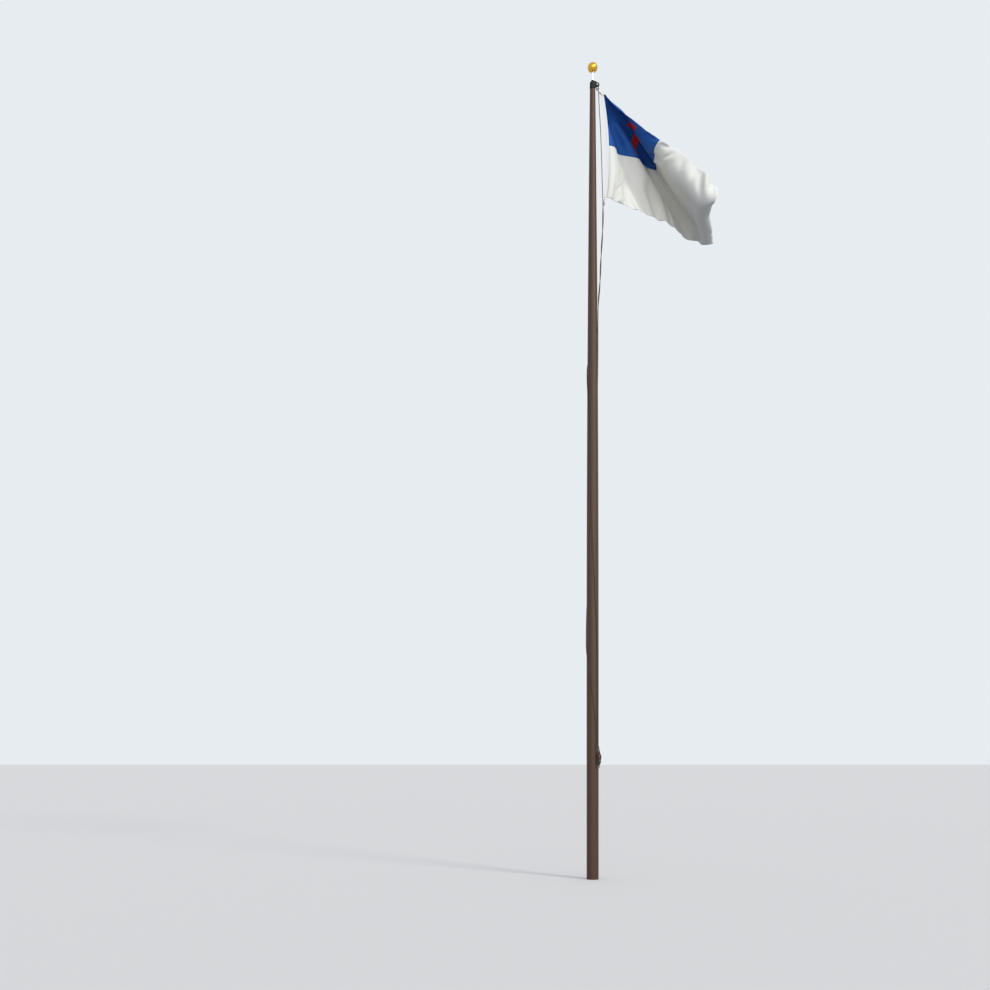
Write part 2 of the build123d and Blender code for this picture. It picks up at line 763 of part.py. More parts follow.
parts = {
    "pole_shaft": make_shaft(),
    "truck_plug": make_truck_plug(),
    "truck_spindle": make_truck_spindle(),
    "thrust_washer": make_thrust_washer(),
    "truck_head": make_truck_head(),
    "truck_bushing": make_truck_bushing(),
    "sheave": make_sheave(),
    "sheave_bushing": make_sheave_bushing(),
    "sheave_pin": make_sheave_pin(),
    "sheave_pin_nut": make_sheave_pin_nut(),
    "ball_stem": make_ball_stem(),
    "ball_lower_half": make_ball_lower(),
    "ball_upper_half": make_ball_upper(),
    "cleat": make_cleat(),
    "halyard_down_leg": make_rope("halyard down leg", over_sheave + [joint_top, pair_a[0]], {
        2: sheave_pitch_radius * 0.98, 3: sheave_pitch_radius * 0.98,
    }) + splice(upper_snap),
    "halyard_pair_a": make_rope("halyard pair a", pair_a),
    "halyard_pair_b": make_rope("halyard pair b", [tuple(lower_splice_end)] + pair_b[1:]) + splice(lower_snap),
    "halyard_wrap_a": make_rope("halyard wrap a", wrap_points(wraps_a)),
    "halyard_wrap_b": make_rope("halyard wrap b", wrap_points(wraps_b)),
    "halyard_cleat_turns": make_rope(
        "halyard cleat turns", cleat_turn_points(wrap_points(wraps_a)[-1], wrap_points(wraps_b)[-1])
    ),
    "flag_header": make_header(),
    "flag_canton": make_cloth((0, canton_fly_share), (0, canton_hoist_share)),
    "flag_fly_panel": make_cloth((beyond_canton, 1), (0, canton_hoist_share)),
    "flag_lower_panel": make_cloth((0, 1), (below_canton, 1)),
}
for i, screw in enumerate(make_set_screws()):
    parts[f"set_screw_{i + 1}"] = screw
for name, screw in zip(("upper", "lower"), reversed(make_cleat_screws())):
    parts[f"cleat_screw_{name}"] = screw
for name, snap, upper in (("upper", upper_snap, True), ("lower", lower_snap, False)):
    parts[f"{name}_snap_eye"] = snap * make_snap_eye()
    parts[f"{name}_snap_hook"] = snap * make_snap_hook()
    parts[f"{name}_snap_cover"] = snap * make_snap_cover()
    parts[f"{name}_grommet"] = make_grommet(upper)

for name, part in parts.items():
    export_step(part, f"parts/{name}.step")
print(len(parts), "pieces")
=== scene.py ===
import json
from math import cos, hypot, pi, radians, sin

import bpy
import numpy as np
from mathutils import Matrix, Vector


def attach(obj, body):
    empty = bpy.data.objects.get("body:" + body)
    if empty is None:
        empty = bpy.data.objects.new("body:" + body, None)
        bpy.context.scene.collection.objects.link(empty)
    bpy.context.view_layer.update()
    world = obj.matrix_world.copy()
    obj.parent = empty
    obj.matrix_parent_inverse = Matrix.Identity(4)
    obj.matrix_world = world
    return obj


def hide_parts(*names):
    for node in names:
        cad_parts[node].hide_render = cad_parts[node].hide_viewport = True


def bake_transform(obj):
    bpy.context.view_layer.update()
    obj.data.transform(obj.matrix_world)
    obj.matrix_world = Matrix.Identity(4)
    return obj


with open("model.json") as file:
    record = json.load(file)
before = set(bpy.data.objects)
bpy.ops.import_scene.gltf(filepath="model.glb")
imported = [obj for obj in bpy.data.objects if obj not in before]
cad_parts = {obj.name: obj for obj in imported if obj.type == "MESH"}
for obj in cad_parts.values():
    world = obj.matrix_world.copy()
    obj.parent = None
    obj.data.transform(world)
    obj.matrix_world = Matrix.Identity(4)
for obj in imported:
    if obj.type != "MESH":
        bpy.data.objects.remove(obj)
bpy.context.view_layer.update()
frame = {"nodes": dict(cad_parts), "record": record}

# Lengths are in millimetres in the values below, as in the part's source, and in metres in every mesh.
MM = 0.001

# Shaft and rope
exposed_height = 9144.0
butt_radius = 69.85
top_radius = 31.75
straight_length = 2600.0
rope_radius = 4.0
rope_gap = 0.6
rope_seat = 0.3
splice_tuck = 18.0
rope_steps, rope_sides = 8, 14

# Truck and sheave
sheave_x = 54.0
sheave_z = 9197.3
sheave_pitch_radius = 14.5

# Cleat
cleat_azimuth = -52.0
cleat_height = 1395.0
cleat_reach = 38.0
horn_root_radius = 7.5
cleat_screw_offset = 17.0
cleat_screw_head_height = 3.0
set_screw_drop = 22.0

# Snap hooks
snap_wire_radius = 2.5
snap_length = 88.0
grommet_hole_radius = 6.0
hook_wire_radius = 2.8
seat_gap = 0.3
hook_bend_room = 0.95
splice_radius = 9.5
upper_eye_way = (-53.2, 8.3, 69.7)
lower_eye_way = (-19, 13, -90)

# Flag
flag_hoist = 1219.0
flag_fly = 1829.0
header_width = 32.0
header_thickness = 3.0
canton_fly_share = 0.47
canton_hoist_share = 0.5
grommet_inset = 18.0
header_bow = 46.0
header_hole_room = 1.45
header_top = (108.0, -18.0, exposed_height - 64)
header_foot = (144.0, -10.0, exposed_height - 1257)
cloth_start = 0.95
# The rays' fall below the level, and how far they lean back: folded, and fading out below the canton
ray_falls = (
    -88, -84, -79, -74.5, -70, -66, -62.5, -59.5, -56, -52, -48.5, -46.5, -46, -47, -48.5, -48.5, -47,
    -44.5, -41,
)
folded_leans = (0, 1.5, 7, 15, 20, 18, 14, 12.5, 14, 18.5, 24, 27, 25, 19, 9, 1, -3, -3, -1)
faded_leans = (0, 3, 7, 11, 14, 16.5, 18.5, 20.5, 22, 24, 26, 27, 25, 19, 9, 1, -3, -3, -1)
fold_fade = (650.0, 1150.0)
ray_steps = 20
hoist_reach = 0.6

# Rope routes
joint_run = 25.0
pair_twists = 2
pair_twist_base = exposed_height - 2524
pair_steps = 3
wraps_top = exposed_height - 2744 - joint_run
wraps_foot = cleat_height + 235
wraps_a = ((wraps_top, 4), (5830, 180), (4860, 233), (3587, 277), (2765, 309), (2300, 315), (wraps_foot, 315))
wraps_b = (
    (wraps_top, -4), (4700, 70), (2720, 180), (2453, 233), (2117, 268), (wraps_foot + 106, 297),
    (wraps_foot, 301),
)
leg_route = (
    (70, 5, 36), (73, 6, 134), (79, 6.5, 244), (87, 7, 364), (94, 8, 504), (99.6, 9.4, 644), (104, 11, 784),
    (108.5, 12, 924), (112, 13, 1054), (116, 13.6, 1174), (120, 13.2, 1274),
)
pair_route = (
    (121, 8, 1354), (121, 8, 1444), (119.5, 7, 1554), (115, 6, 1664), (108, 5, 1774), (101, 4, 1884),
    (95.5, 3, 1994), (91, 3, 2104), (86.5, 2, 2214), (79, 1, 2324), (69, 0, 2424), (64, 0, 2524),
    (62.3, 0, 2634), (61.75, 0, 2743.5),
)

# Hems and seams, and how thick the cloth is drawn where it is single and where it is folded
cell = 10.0
hem, fly_hem, seam, fold_step = 12.0, 22.0, 9.0, 1.2
stitch_inset, seam_inset = 2, 1.5
cloth_thin, cloth_fold = 0.8, 1.7
canton_wide = canton_fly_share * flag_fly
canton_high = canton_hoist_share * flag_hoist

# Camera, light and floor
viewer_place = (-1.13, -14.23, 1.64)
lens, lens_shift = 44.7, 0.245
fill_colour, fill_strength = (0.75, 0.84, 1.0), 0.6
shown_colour, shown_strength = (0.80, 0.84, 0.88), 1.0
floor_shown, floor_bounce = (0.90, 0.85, 0.78), (0.28, 0.28, 0.29)


# ---- shader helpers

class Tree:
    """Short ways to add the nodes that the groups and materials share."""

    def __init__(self, tree):
        self.nodes, self.links = tree.nodes, tree.links

    def link(self, source, target):
        self.links.new(source, target)

    def add(self, kind, inputs, **settings):
        """A node with its settings, and its inputs by name or place: constants or other nodes' outputs."""
        node = self.nodes.new(kind)
        for name, value in settings.items():
            setattr(node, name, value)
        for key, value in inputs.items():
            socket = node.inputs[key]
            if isinstance(value, tuple):
                socket.default_value = (*value, 1) if len(socket.default_value) > len(value) else value
            elif isinstance(value, (int, float)):
                socket.default_value = value
            else:
                self.link(value, socket)
        return node

    def math(self, operation, *values):
        return self.add("ShaderNodeMath", dict(enumerate(values)), operation=operation).outputs[0]

    def vector_math(self, operation, *values):
        return self.add("ShaderNodeVectorMath", dict(enumerate(values)), operation=operation).outputs

    def noise(self, vector, scale, detail, rough):
        inputs = {"Vector": vector, "Scale": scale, "Detail": detail, "Roughness": rough}
        return self.add("ShaderNodeTexNoise", inputs).outputs["Fac"]

    def mapped(self, vector, scale):
        return self.add("ShaderNodeMapping", {"Vector": vector, "Scale": scale}).outputs["Vector"]

    def spread(self, value, low, high, out_low=0.0, out_high=1.0):
        inputs = {"Value": value, "From Min": low, "From Max": high, "To Min": out_low, "To Max": out_high}
        return self.add("ShaderNodeMapRange", inputs).outputs["Result"]

    def mix_colour(self, share, first, second):
        return self.add("ShaderNodeMix", {"Factor": share, 6: first, 7: second}, data_type="RGBA").outputs[2]

    def either(self, share, first, second):
        """The first value where share is 1, and the second where it is 0."""
        rest = self.math("SUBTRACT", 1.0, share)
        return self.math("ADD", self.math("MULTIPLY", first, share), self.math("MULTIPLY", second, rest))

    def split(self, vector):
        return tuple(self.add("ShaderNodeSeparateXYZ", {0: vector}).outputs)

    def join(self, x, y):
        return self.add("ShaderNodeCombineXYZ", {0: x, 1: y}).outputs[0]

    def place_group(self, group, **values):
        inputs = {label.replace("_", " "): value for label, value in values.items()}
        return self.add("ShaderNodeGroup", inputs, node_tree=group).outputs


def new_group(name, inputs, outputs):
    """A shader group of numbers. An input whose start value is None is a vector."""
    group = bpy.data.node_groups.new(name, "ShaderNodeTree")
    for label, value in inputs.items():
        kind = "NodeSocketVector" if value is None else "NodeSocketFloat"
        socket = group.interface.new_socket(label, in_out="INPUT", socket_type=kind)
        if value is not None:
            socket.default_value = value
    for label in outputs:
        group.interface.new_socket(label, in_out="OUTPUT", socket_type="NodeSocketFloat")
    given, put_out = group.nodes.new("NodeGroupInput"), group.nodes.new("NodeGroupOutput")
    return group, Tree(group), given.outputs, put_out.inputs


# ---- camera and light

def make_camera():
    camera = bpy.data.objects.new("camera", bpy.data.cameras.new("camera"))
    bpy.context.collection.objects.link(camera)
    camera.location = viewer_place
    camera.rotation_euler = (radians(90), 0, 0)
    camera.data.lens = lens
    camera.data.sensor_width = 36
    camera.data.shift_y = lens_shift
    bpy.context.scene.camera = camera


def make_sun(name, strength, softness, height, side):
    """A soft sun at a height above the horizon, turned to the viewer's right from the front."""
    lamp = bpy.data.lights.new(name, "SUN")
    lamp.energy = strength
    lamp.angle = radians(softness)
    sun = bpy.data.objects.new(name, lamp)
    sun.rotation_euler = (radians(90 - height), 0, radians(side))
    bpy.context.collection.objects.link(sun)


def make_world():
    """One sky fills the shadows, and a plain pale one shows behind the part and in its reflections."""
    world = bpy.data.worlds.new("studio")
    bpy.context.scene.world = world
    world.use_nodes = True
    tree = Tree(world.node_tree)
    tree.nodes.clear()
    fill, shown = (
        tree.add("ShaderNodeBackground", {"Color": colour, "Strength": strength}).outputs[0]
        for colour, strength in ((fill_colour, fill_strength), (shown_colour, shown_strength))
    )
    path = tree.nodes.new("ShaderNodeLightPath").outputs
    seen = tree.math("MAXIMUM", path["Is Camera Ray"], path["Is Glossy Ray"])
    through = tree.math("MAXIMUM", seen, path["Is Transmission Ray"])
    mix = tree.add("ShaderNodeMixShader", {"Fac": through, 1: fill, 2: shown})
    tree.add("ShaderNodeOutputWorld", {"Surface": mix.outputs[0]})


make_camera()
bpy.context.scene.view_settings.view_transform = "Standard"
make_sun("key_sun", strength=1.25, softness=14, height=31, side=46)
make_sun("front_sun", strength=1.25, softness=60, height=8, side=8)
make_world()


# ---- modelling helpers

def deselect_all():
    if bpy.context.object and bpy.context.object.mode != "OBJECT":
        bpy.ops.object.mode_set(mode="OBJECT")
    bpy.ops.object.select_all(action="DESELECT")


def pick(*objects):
    deselect_all()
    for piece in objects:
        piece.select_set(True)
    bpy.context.view_layer.objects.active = objects[0]


def place(piece, matrix):
    """Moves a piece's mesh, so that its object stays at the origin."""
    piece.data.transform(matrix)
    piece.data.update()
    return piece


def settle(piece):
    """Puts the object's own place into its mesh."""
    pick(piece)
    bpy.ops.object.transform_apply(location=True, rotation=True, scale=True)
    return piece


def apply_modifier(piece, kind, **values):
    modifier = piece.modifiers.new(kind.lower(), kind)
    for name, value in values.items():
        setattr(modifier, name, value)
    pick(piece)
    bpy.ops.object.modifier_apply(modifier=modifier.name)
    return piece


def smooth(piece, angle):
    pick(piece)
    bpy.ops.object.shade_smooth_by_angle(angle=radians(angle))
    return piece


def named(name):
    """The object that was made last, under its name."""
    piece = bpy.context.object
    piece.name = piece.data.name = name
    return piece


def joined(name, pieces):
    pick(*pieces)
    bpy.ops.object.join()
    return named(name)


def finish_piece(piece, body, slot, material, *nodes):
    """Gives a finished piece its material, the CAD nodes that it stands for, and its body. The slot is not
    used.
    """
    piece.data.materials.clear()
    piece.data.materials.append(material)
    if nodes:
        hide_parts(*nodes)
    if body:
        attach(piece, body)
    return piece


def ringed(name, stations, sides):
    """An open form built up ring by ring along Z: each station is a height and two half widths, in mm."""
    height, wide, gap_shaded_tone = (value * MM for value in stations[0])
    deselect_all()
    bpy.ops.mesh.primitive_circle_add(vertices=sides, radius=1, location=(0, 0, height))
    piece = settle(named(name))
    bpy.ops.object.mode_set(mode="EDIT")
    bpy.ops.mesh.select_all(action="SELECT")
    bpy.ops.transform.resize(value=(wide, gap_shaded_tone, 1), center_override=(0, 0, height))
    for before, after in zip(stations, stations[1:]):
        rise = (after[0] - before[0]) * MM
        bpy.ops.mesh.extrude_region_move(TRANSFORM_OT_translate={"value": (0, 0, rise)})
        growth = (after[1] / before[1], after[2] / before[2], 1)
        bpy.ops.transform.resize(value=growth, center_override=(0, 0, after[0] * MM))
    bpy.ops.mesh.select_all(action="SELECT")
    bpy.ops.mesh.normals_make_consistent(inside=False)
    bpy.ops.object.mode_set(mode="OBJECT")
    return piece


# ---- ropes

def shaft_radius(z):
    climb = max(0.0, z - straight_length) / (exposed_height - straight_length)
    return butt_radius - (butt_radius - top_radius) * climb**2


def shaft_point(z, azimuth, out):
    r = shaft_radius(z) + out
    return (r * cos(radians(azimuth)), r * sin(radians(azimuth)), z)


def smooth_azimuth(stations, z):
    """The rope's azimuth at a height, easing through its stations without a kink."""
    for i in range(len(stations) - 1):
        (z0, a0), (z1, a1) = stations[i], stations[i + 1]
        if z >= z1 or i == len(stations) - 2:
            break
    before = stations[i - 1] if i else stations[i]
    after = stations[i + 2] if i + 2 < len(stations) else stations[i + 1]
    slope0 = (a1 - before[1]) / (z1 - before[0])
    slope1 = (after[1] - a0) / (after[0] - z0)
    share = (z - z0) / (z1 - z0)
    span = z1 - z0
    return (
        (2 * share**3 - 3 * share**2 + 1) * a0 + (share**3 - 2 * share**2 + share) * span * slope0
        + (3 * share**2 - 2 * share**3) * a1 + (share**3 - share**2) * span * slope1
    )


def wrap_points(stations):
    """The rope's points down the shaft, closer together where it winds fast."""
    top, foot = stations[0][0], stations[-1][0]
    z = last = top
    azimuth = stations[0][1]
    out = rope_radius + rope_gap
    points = [shaft_point(top + joint_run, azimuth, out), shaft_point(top, azimuth, out)]
    step, most_turn, most_drop, least_end = 5, 10, 160, 60
    while z - step > foot:
        z -= step
        now = smooth_azimuth(stations, z)
        if abs(now - azimuth) >= most_turn or last - z >= most_drop:
            points.append(shaft_point(z, now, out))
            azimuth, last = now, z
    if last - foot < least_end:
        points.pop()
    azimuth = stations[-1][1]
    return points + [shaft_point(foot, azimuth, out), shaft_point(foot - joint_run, azimuth, out)]


def cleat_point(across, height, out):
    """A point in the cleat's own frame, with across along the shaft's surface."""
    turn = radians(cleat_azimuth)
    r = butt_radius + out
    return (r * cos(turn) - across * sin(turn), r * sin(turn) + across * cos(turn), cleat_height + height)


def cleat_turn_points(foot_a, foot_b):
    """One rope down from leg A, in figure eights round the horns, and up again as leg B."""
    side, wide, behind, front = 11, 13, 27, 44
    near, far = 57, 68
    half_cross, half_rise = 6, 20
    clear = cleat_reach + horn_root_radius + cleat_screw_head_height + rope_radius + rope_seat
    route = [(19, 130, 14), (24, 62, 31), (23, -2, 42)]

    def round_horn(height):
        inner = height - 8 if height > 0 else height + 8
        return [(wide, inner, front), (side, height, behind), (-side, height, behind), (-wide, inner, front)]

    for i, (height, rise) in enumerate(((-near, -half_rise), (near, half_rise), (-far, -half_rise))):
        out = clear + i * (2 * rope_radius + 1)
        route += round_horn(height) + [(-half_cross, rise, out), (half_cross, -rise, out + 1)]
    route += round_horn(far)[:2] + [(-side - 2, far + 2, behind), (-20, 112, 20)]
    lead_a, lead_b = ((x, y, z - joint_run) for x, y, z in (foot_a, foot_b))
    return [foot_a, lead_a] + [cleat_point(*p) for p in route] + [lead_b, foot_b]


def below_top(route):
    return [(x, y, exposed_height - drop) for x, y, drop in route]


def pair_points(side):
    """One rope of the pair, twisted round the other above where they lie on the shaft."""
    route = below_top(pair_route)
    middles = []
    for low, high in zip(route, route[1:]):
        steps = pair_steps if min(low[2], high[2]) >= pair_twist_base else 1
        for i in range(steps):
            middles.append([low[j] + (high[j] - low[j]) * i / steps for j in range(3)])
    points = []
    for x, y, z in middles + [route[-1]]:
        climb = max(0.0, z - pair_twist_base) / (route[0][2] - pair_twist_base)
        turn = 2 * pi * pair_twists * climb
        offset = side * (rope_radius + seat_gap)
        points.append((x + offset * sin(turn), y + offset * cos(turn), z))
    return [(points[0][0], points[0][1], points[0][2] + joint_run)] + points


def header_line(share):
    """The header's middle at a share, or an array of shares, down from its top: across, back and up in mm."""
    x, y, z = (top + (foot - top) * share for top, foot in zip(header_top, header_foot))
    return x + header_bow * 4 * share * (1 - share), y, z


def grommet_place(upper):
    inset = grommet_inset / flag_hoist
    return Vector(header_line(inset if upper else 1 - inset))


def snap_matrix(upper):
    """The snap's own frame in mm: Z from its swivel eye to the grommet, Y near the cloth's normal."""
    z_dir = -Vector(upper_eye_way if upper else lower_eye_way).normalized()
    x_dir = Vector((0, 1, 0)).cross(z_dir).normalized()
    y_dir = z_dir.cross(x_dir)
    bearing = grommet_hole_radius - hook_wire_radius - seat_gap - hook_bend_room
    origin = grommet_place(upper) - z_dir * (snap_length + bearing)
    matrix = Matrix((x_dir, y_dir, z_dir)).transposed().to_4x4()
    matrix.translation = origin
    return matrix


def metre_matrix(matrix):
    """A frame in mm made one for meshes in metres."""
    result = matrix.copy()
    result.translation = matrix.translation * MM
    return result


def spline_points(route, steps):
    """Points in metres, read from the NURBS spline whose control points are a route's points."""
    curve = bpy.data.curves.new("rope_line", "CURVE")
    curve.dimensions = "3D"
    curve.resolution_u = steps
    spline = curve.splines.new("NURBS")
    spline.points.add(len(route) - 1)
    for point, spot in zip(spline.points, route):
        point.co = (spot[0] * MM, spot[1] * MM, spot[2] * MM, 1)
    spline.order_u = 3
    spline.use_endpoint_u = True
    line = bpy.data.objects.new("rope_line", curve)
    bpy.context.collection.objects.link(line)
    mesh = bpy.data.meshes.new_from_object(line)
    points = [vertex.co.copy() for vertex in mesh.vertices]
    bpy.data.objects.remove(line)
    bpy.data.curves.remove(curve)
    bpy.data.meshes.remove(mesh)
    return points


def tube(name, points, radius, sides):
    """A round tube along points, with its length in metres and its turn as its UV map."""
    count = len(points)
    ways = [(points[min(i + 1, count - 1)] - points[max(i - 1, 0)]).normalized() for i in range(count)]
    across = Vector((0, 1, 0)) if abs(ways[0].y) < 0.9 else Vector((1, 0, 0))
    lengths = [0.0]
    rings = []
    for i, (point, way) in enumerate(zip(points, ways)):
        across = (across - way * across.dot(way)).normalized()
        other = way.cross(across)
        if i:
            lengths.append(lengths[-1] + (point - points[i - 1]).length)
        rings.append([
            point + (across * cos(2 * pi * k / sides) + other * sin(2 * pi * k / sides)) * radius
            for k in range(sides)
        ])
    vertices = [corner for ring in rings for corner in ring]
    faces, spots = [], []
    for i in range(count - 1):
        for k in range(sides):
            far = (k + 1) % sides
            faces.append((i * sides + k, i * sides + far, (i + 1) * sides + far, (i + 1) * sides + k))
            spots += [
                (lengths[i], k / sides), (lengths[i], (k + 1) / sides),
                (lengths[i + 1], (k + 1) / sides), (lengths[i + 1], k / sides),
            ]
    faces.append(tuple(reversed(range(sides))))
    faces.append(tuple((count - 1) * sides + k for k in range(sides)))
    spots += [(length, k / sides) for length in (lengths[0], lengths[-1]) for k in range(sides)]
    mesh = bpy.data.meshes.new(name)
    mesh.from_pydata(vertices, [], faces)
    layer = mesh.uv_layers.new(name="along")
    for loop, spot in zip(layer.data, spots):
        loop.uv = spot
    mesh.update()
    piece = bpy.data.objects.new(name, mesh)
    bpy.context.collection.objects.link(piece)
    for face in mesh.polygons:
        face.use_smooth = len(face.vertices) == 4
    return piece


def splice_route(matrix, end, onward):
    """The rope's eye round the snap's swivel eye. Its two legs close into the rope that runs on from it."""
    half = splice_radius
    middle = snap_wire_radius + rope_radius + rope_seat - half
    way, beside = (onward - end).normalized(), matrix.to_3x3() @ Vector((1, 0, 0))
    beside = (beside - way * beside.dot(way)).normalized()
    loop = (
        (half - 1.5, middle - 8), (half + 1.2, middle + 1), (half - 2, middle + half - 1),
        (3.5, middle + half + 1.2),
    )
    throat = ((splice_tuck, 0.4), (14, 1.6), (4, 3.2))
    right = [tuple(matrix @ Vector((x, 0, z))) for x, z in loop]
    left = [tuple(matrix @ Vector((-x, 0, z))) for x, z in reversed(loop)]
    inward = [tuple(end + way * run + beside * aside) for run, aside in throat]
    outward = [tuple(end + way * run - beside * aside) for run, aside in reversed(throat)]
    return inward + right + left + outward


def whipping(name, end, onward):
    """Tight turns of twine round a splice's throat."""
    turns, start, pitch, twine_radius = 11, 7, 1.02, 0.55
    rounds = []
    for i in range(turns):
        deselect_all()
        bpy.ops.mesh.primitive_torus_add(
            major_segments=28, minor_segments=8, major_radius=(rope_radius + 1.5) * MM,
            minor_radius=twine_radius * MM, location=(0, 0, (start + i * pitch) * MM),
        )
        rounds.append(settle(bpy.context.object))
    turn = (onward - end).to_track_quat("Z", "Y").to_matrix().to_4x4()
    return smooth(place(joined(name, rounds), Matrix.Translation(end * MM) @ turn), 60)


upper_snap, lower_snap = snap_matrix(True), snap_matrix(False)
splice_reach = 2 * splice_radius - snap_wire_radius - rope_radius
upper_splice_end = upper_snap @ Vector((0, 0, -splice_reach))
lower_splice_end = lower_snap @ Vector((0, 0, -splice_reach))
inner_leg, outer_leg = sheave_x - sheave_pitch_radius, sheave_x + sheave_pitch_radius
crest = sheave_z + sheave_pitch_radius
pair_a, pair_b = pair_points(1), pair_points(-1)
joint_top = (pair_a[0][0], pair_a[0][1], pair_a[0][2] + joint_run)
down_leg = [
    tuple(upper_splice_end), (inner_leg, 0, sheave_z - 24), (inner_leg, 0, sheave_z + 1),
    (inner_leg + 2, 0, crest - 2), (sheave_x - 3, 0, crest + 3), (sheave_x + 3, 0, crest + 3),
    (outer_leg - 2, 0, crest - 2), (outer_leg, 0, sheave_z + 1), (outer_leg, 0, sheave_z - 24),
] + below_top(leg_route) + [joint_top, pair_a[0]]

lead_a, lead_b = wrap_points(wraps_a), wrap_points(wraps_b)
cleat_turns = cleat_turn_points(lead_a[-1], lead_b[-1])
lower_run = [tuple(lower_splice_end)] + pair_b[1:-1]
upper_onward, lower_onward = Vector(down_leg[1]), Vector(lower_run[1])


def rope_run(name, route):
    return tube(name, spline_points(route, rope_steps), rope_radius * MM, rope_sides)


# One rope from the upper snap over the sheave, down to the cleat's turns and up again to the lower snap
halyard_route = down_leg + pair_a[1:-1] + lead_a + cleat_turns[1:-1] + list(reversed(lower_run + lead_b))
halyard = joined("halyard_rope", [
    rope_run("halyard_rope", halyard_route),
    rope_run("upper_eye_splice", splice_route(upper_snap, upper_splice_end, upper_onward)),
    rope_run("lower_eye_splice", splice_route(lower_snap, lower_splice_end, lower_onward)),
])


# ---- shader groups

def make_grain_group():
    """Fine grain and broad clouding."""
    group, tree, given, put_out = new_group(
        "metal_grain", {"Vector": None, "Grain Scale": 400.0, "Cloud Scale": 3.0}, ("Grain", "Cloud")
    )
    for label, detail, rough in (("Grain", 3.0, 0.6), ("Cloud", 4.0, 0.55)):
        tree.link(tree.noise(given["Vector"], given[label + " Scale"], detail, rough), put_out[label])
    return group


def crossed(tree, first, second):
    """The rounded backs of two sets of strands, and a mask of the cells where the first lies on top."""
    waves = [tree.math("SINE", tree.math("MULTIPLY", run, pi)) for run in (first, second)]
    cells = tree.math("ADD", tree.math("FLOOR", first), tree.math("FLOOR", second))
    over = tree.math("GREATER_THAN", tree.math("FLOORED_MODULO", cells, 2.0), 0.5)
    return tree.math("ABSOLUTE", waves[0]), tree.math("ABSOLUTE", waves[1]), over


def make_braid_group():
    """A solid-braided rope's plaits, from its length in metres and its turn."""
    group, tree, given, put_out = new_group(
        "rope_braid", {"UV": None, "Plaits": 8.0, "Pitch": 0.009}, ("Height", "Fibre")
    )
    along, turn, _ = tree.split(given["UV"])
    x = tree.math("MULTIPLY", turn, given["Plaits"])
    y = tree.math("DIVIDE", along, given["Pitch"])
    rising, falling, over = crossed(tree, tree.math("ADD", x, y), tree.math("SUBTRACT", x, y))
    across = tree.either(over, rising, falling)
    lengthwise = tree.either(over, falling, rising)
    tree.link(tree.math("MULTIPLY", across, tree.math("POWER", lengthwise, 0.4)), put_out["Height"])
    lay = tree.join(tree.math("MULTIPLY", x, 9.0), tree.math("MULTIPLY", y, 2.0))
    tree.link(tree.noise(lay, 2.0, 2.0, 0.6), put_out["Fibre"])
    return group


def make_weave_group():
    """A plain weave on a flat map in metres, with the yarn's slubs."""
    group, tree, given, put_out = new_group("plain_weave", {"UV": None, "Yarns": 900.0}, ("Height", "Slub"))
    u, v, _ = tree.split(given["UV"])
    warp, weft, over = crossed(
        tree, tree.math("MULTIPLY", u, given["Yarns"]), tree.math("MULTIPLY", v, given["Yarns"])
    )
    tree.link(tree.either(over, warp, weft), put_out["Height"])
    stretched = tree.join(tree.math("MULTIPLY", u, 60.0), tree.math("MULTIPLY", v, 900.0))
    tree.link(tree.noise(stretched, 1.0, 2.0, 0.6), put_out["Slub"])
    return group


def make_stitch_group():
    """One row of stitches at a line across the map: Across and Along are in metres."""
    group, tree, given, put_out = new_group(
        "stitch_row", {"Across": 0.0, "Along": 0.0, "Line": 0.0, "Pitch": 0.0032, "Width": 0.0006},
        ("Thread", "Pucker"),
    )
    off = tree.math("ABSOLUTE", tree.math("SUBTRACT", given["Across"], given["Line"]))
    near = tree.math("LESS_THAN", off, given["Width"])
    beat = tree.math("FRACT", tree.math("DIVIDE", given["Along"], given["Pitch"]))
    stitch = tree.math("LESS_THAN", tree.math("ABSOLUTE", tree.math("SUBTRACT", beat, 0.5)), 0.36)
    tree.link(tree.math("MULTIPLY", near, stitch), put_out["Thread"])
    pull = tree.math("DIVIDE", off, tree.math("MULTIPLY", given["Width"], 5.0))
    tree.link(tree.math("MINIMUM", pull, 1.0), put_out["Pucker"])
    return group


def make_drive_group():
    """A mask that is 1 in a screw's socket, where the socket's painted shade goes: near enough to its axis,
    and to a slot's middle height.
    """
    group, tree, given, put_out = new_group(
        "painted_socket_shade", {"Vector": None, "Centre": None, "Axis": None, "Radius": 0.0016, "Slot": 1.0},
        ("Mask",),
    )
    away = tree.vector_math("SUBTRACT", given["Vector"], given["Centre"])["Vector"]
    across = tree.vector_math("CROSS_PRODUCT", away, given["Axis"])["Vector"]
    inside = tree.math("LESS_THAN", tree.vector_math("LENGTH", across)["Value"], given["Radius"])
    level = tree.math("LESS_THAN", tree.math("ABSOLUTE", tree.split(away)[2]), given["Slot"])
    tree.link(tree.math("MULTIPLY", inside, level), put_out["Mask"])
    return group


socket_shade_group, grain_group, braid_group = make_drive_group(), make_grain_group(), make_braid_group()
weave_group, stitch_group = make_weave_group(), make_stitch_group()


# ---- materials

def new_material(name, **values):
    """A material, its tree, its shader's inputs, and the places that textures can use."""
    material = bpy.data.materials.new(name)
    material.use_nodes = True
    tree = Tree(material.node_tree)
    shader = next(node for node in tree.nodes if node.type == "BSDF_PRINCIPLED").inputs
    for label, value in values.items():
        shader[label.replace("_", " ")].default_value = value
    return material, tree, shader, tree.nodes.new("ShaderNodeTexCoord").outputs


def add_bump(tree, shader, height, strength, distance):
    bump = tree.add("ShaderNodeBump", {"Strength": strength, "Distance": distance, "Height": height})
    tree.link(bump.outputs["Normal"], shader["Normal"])


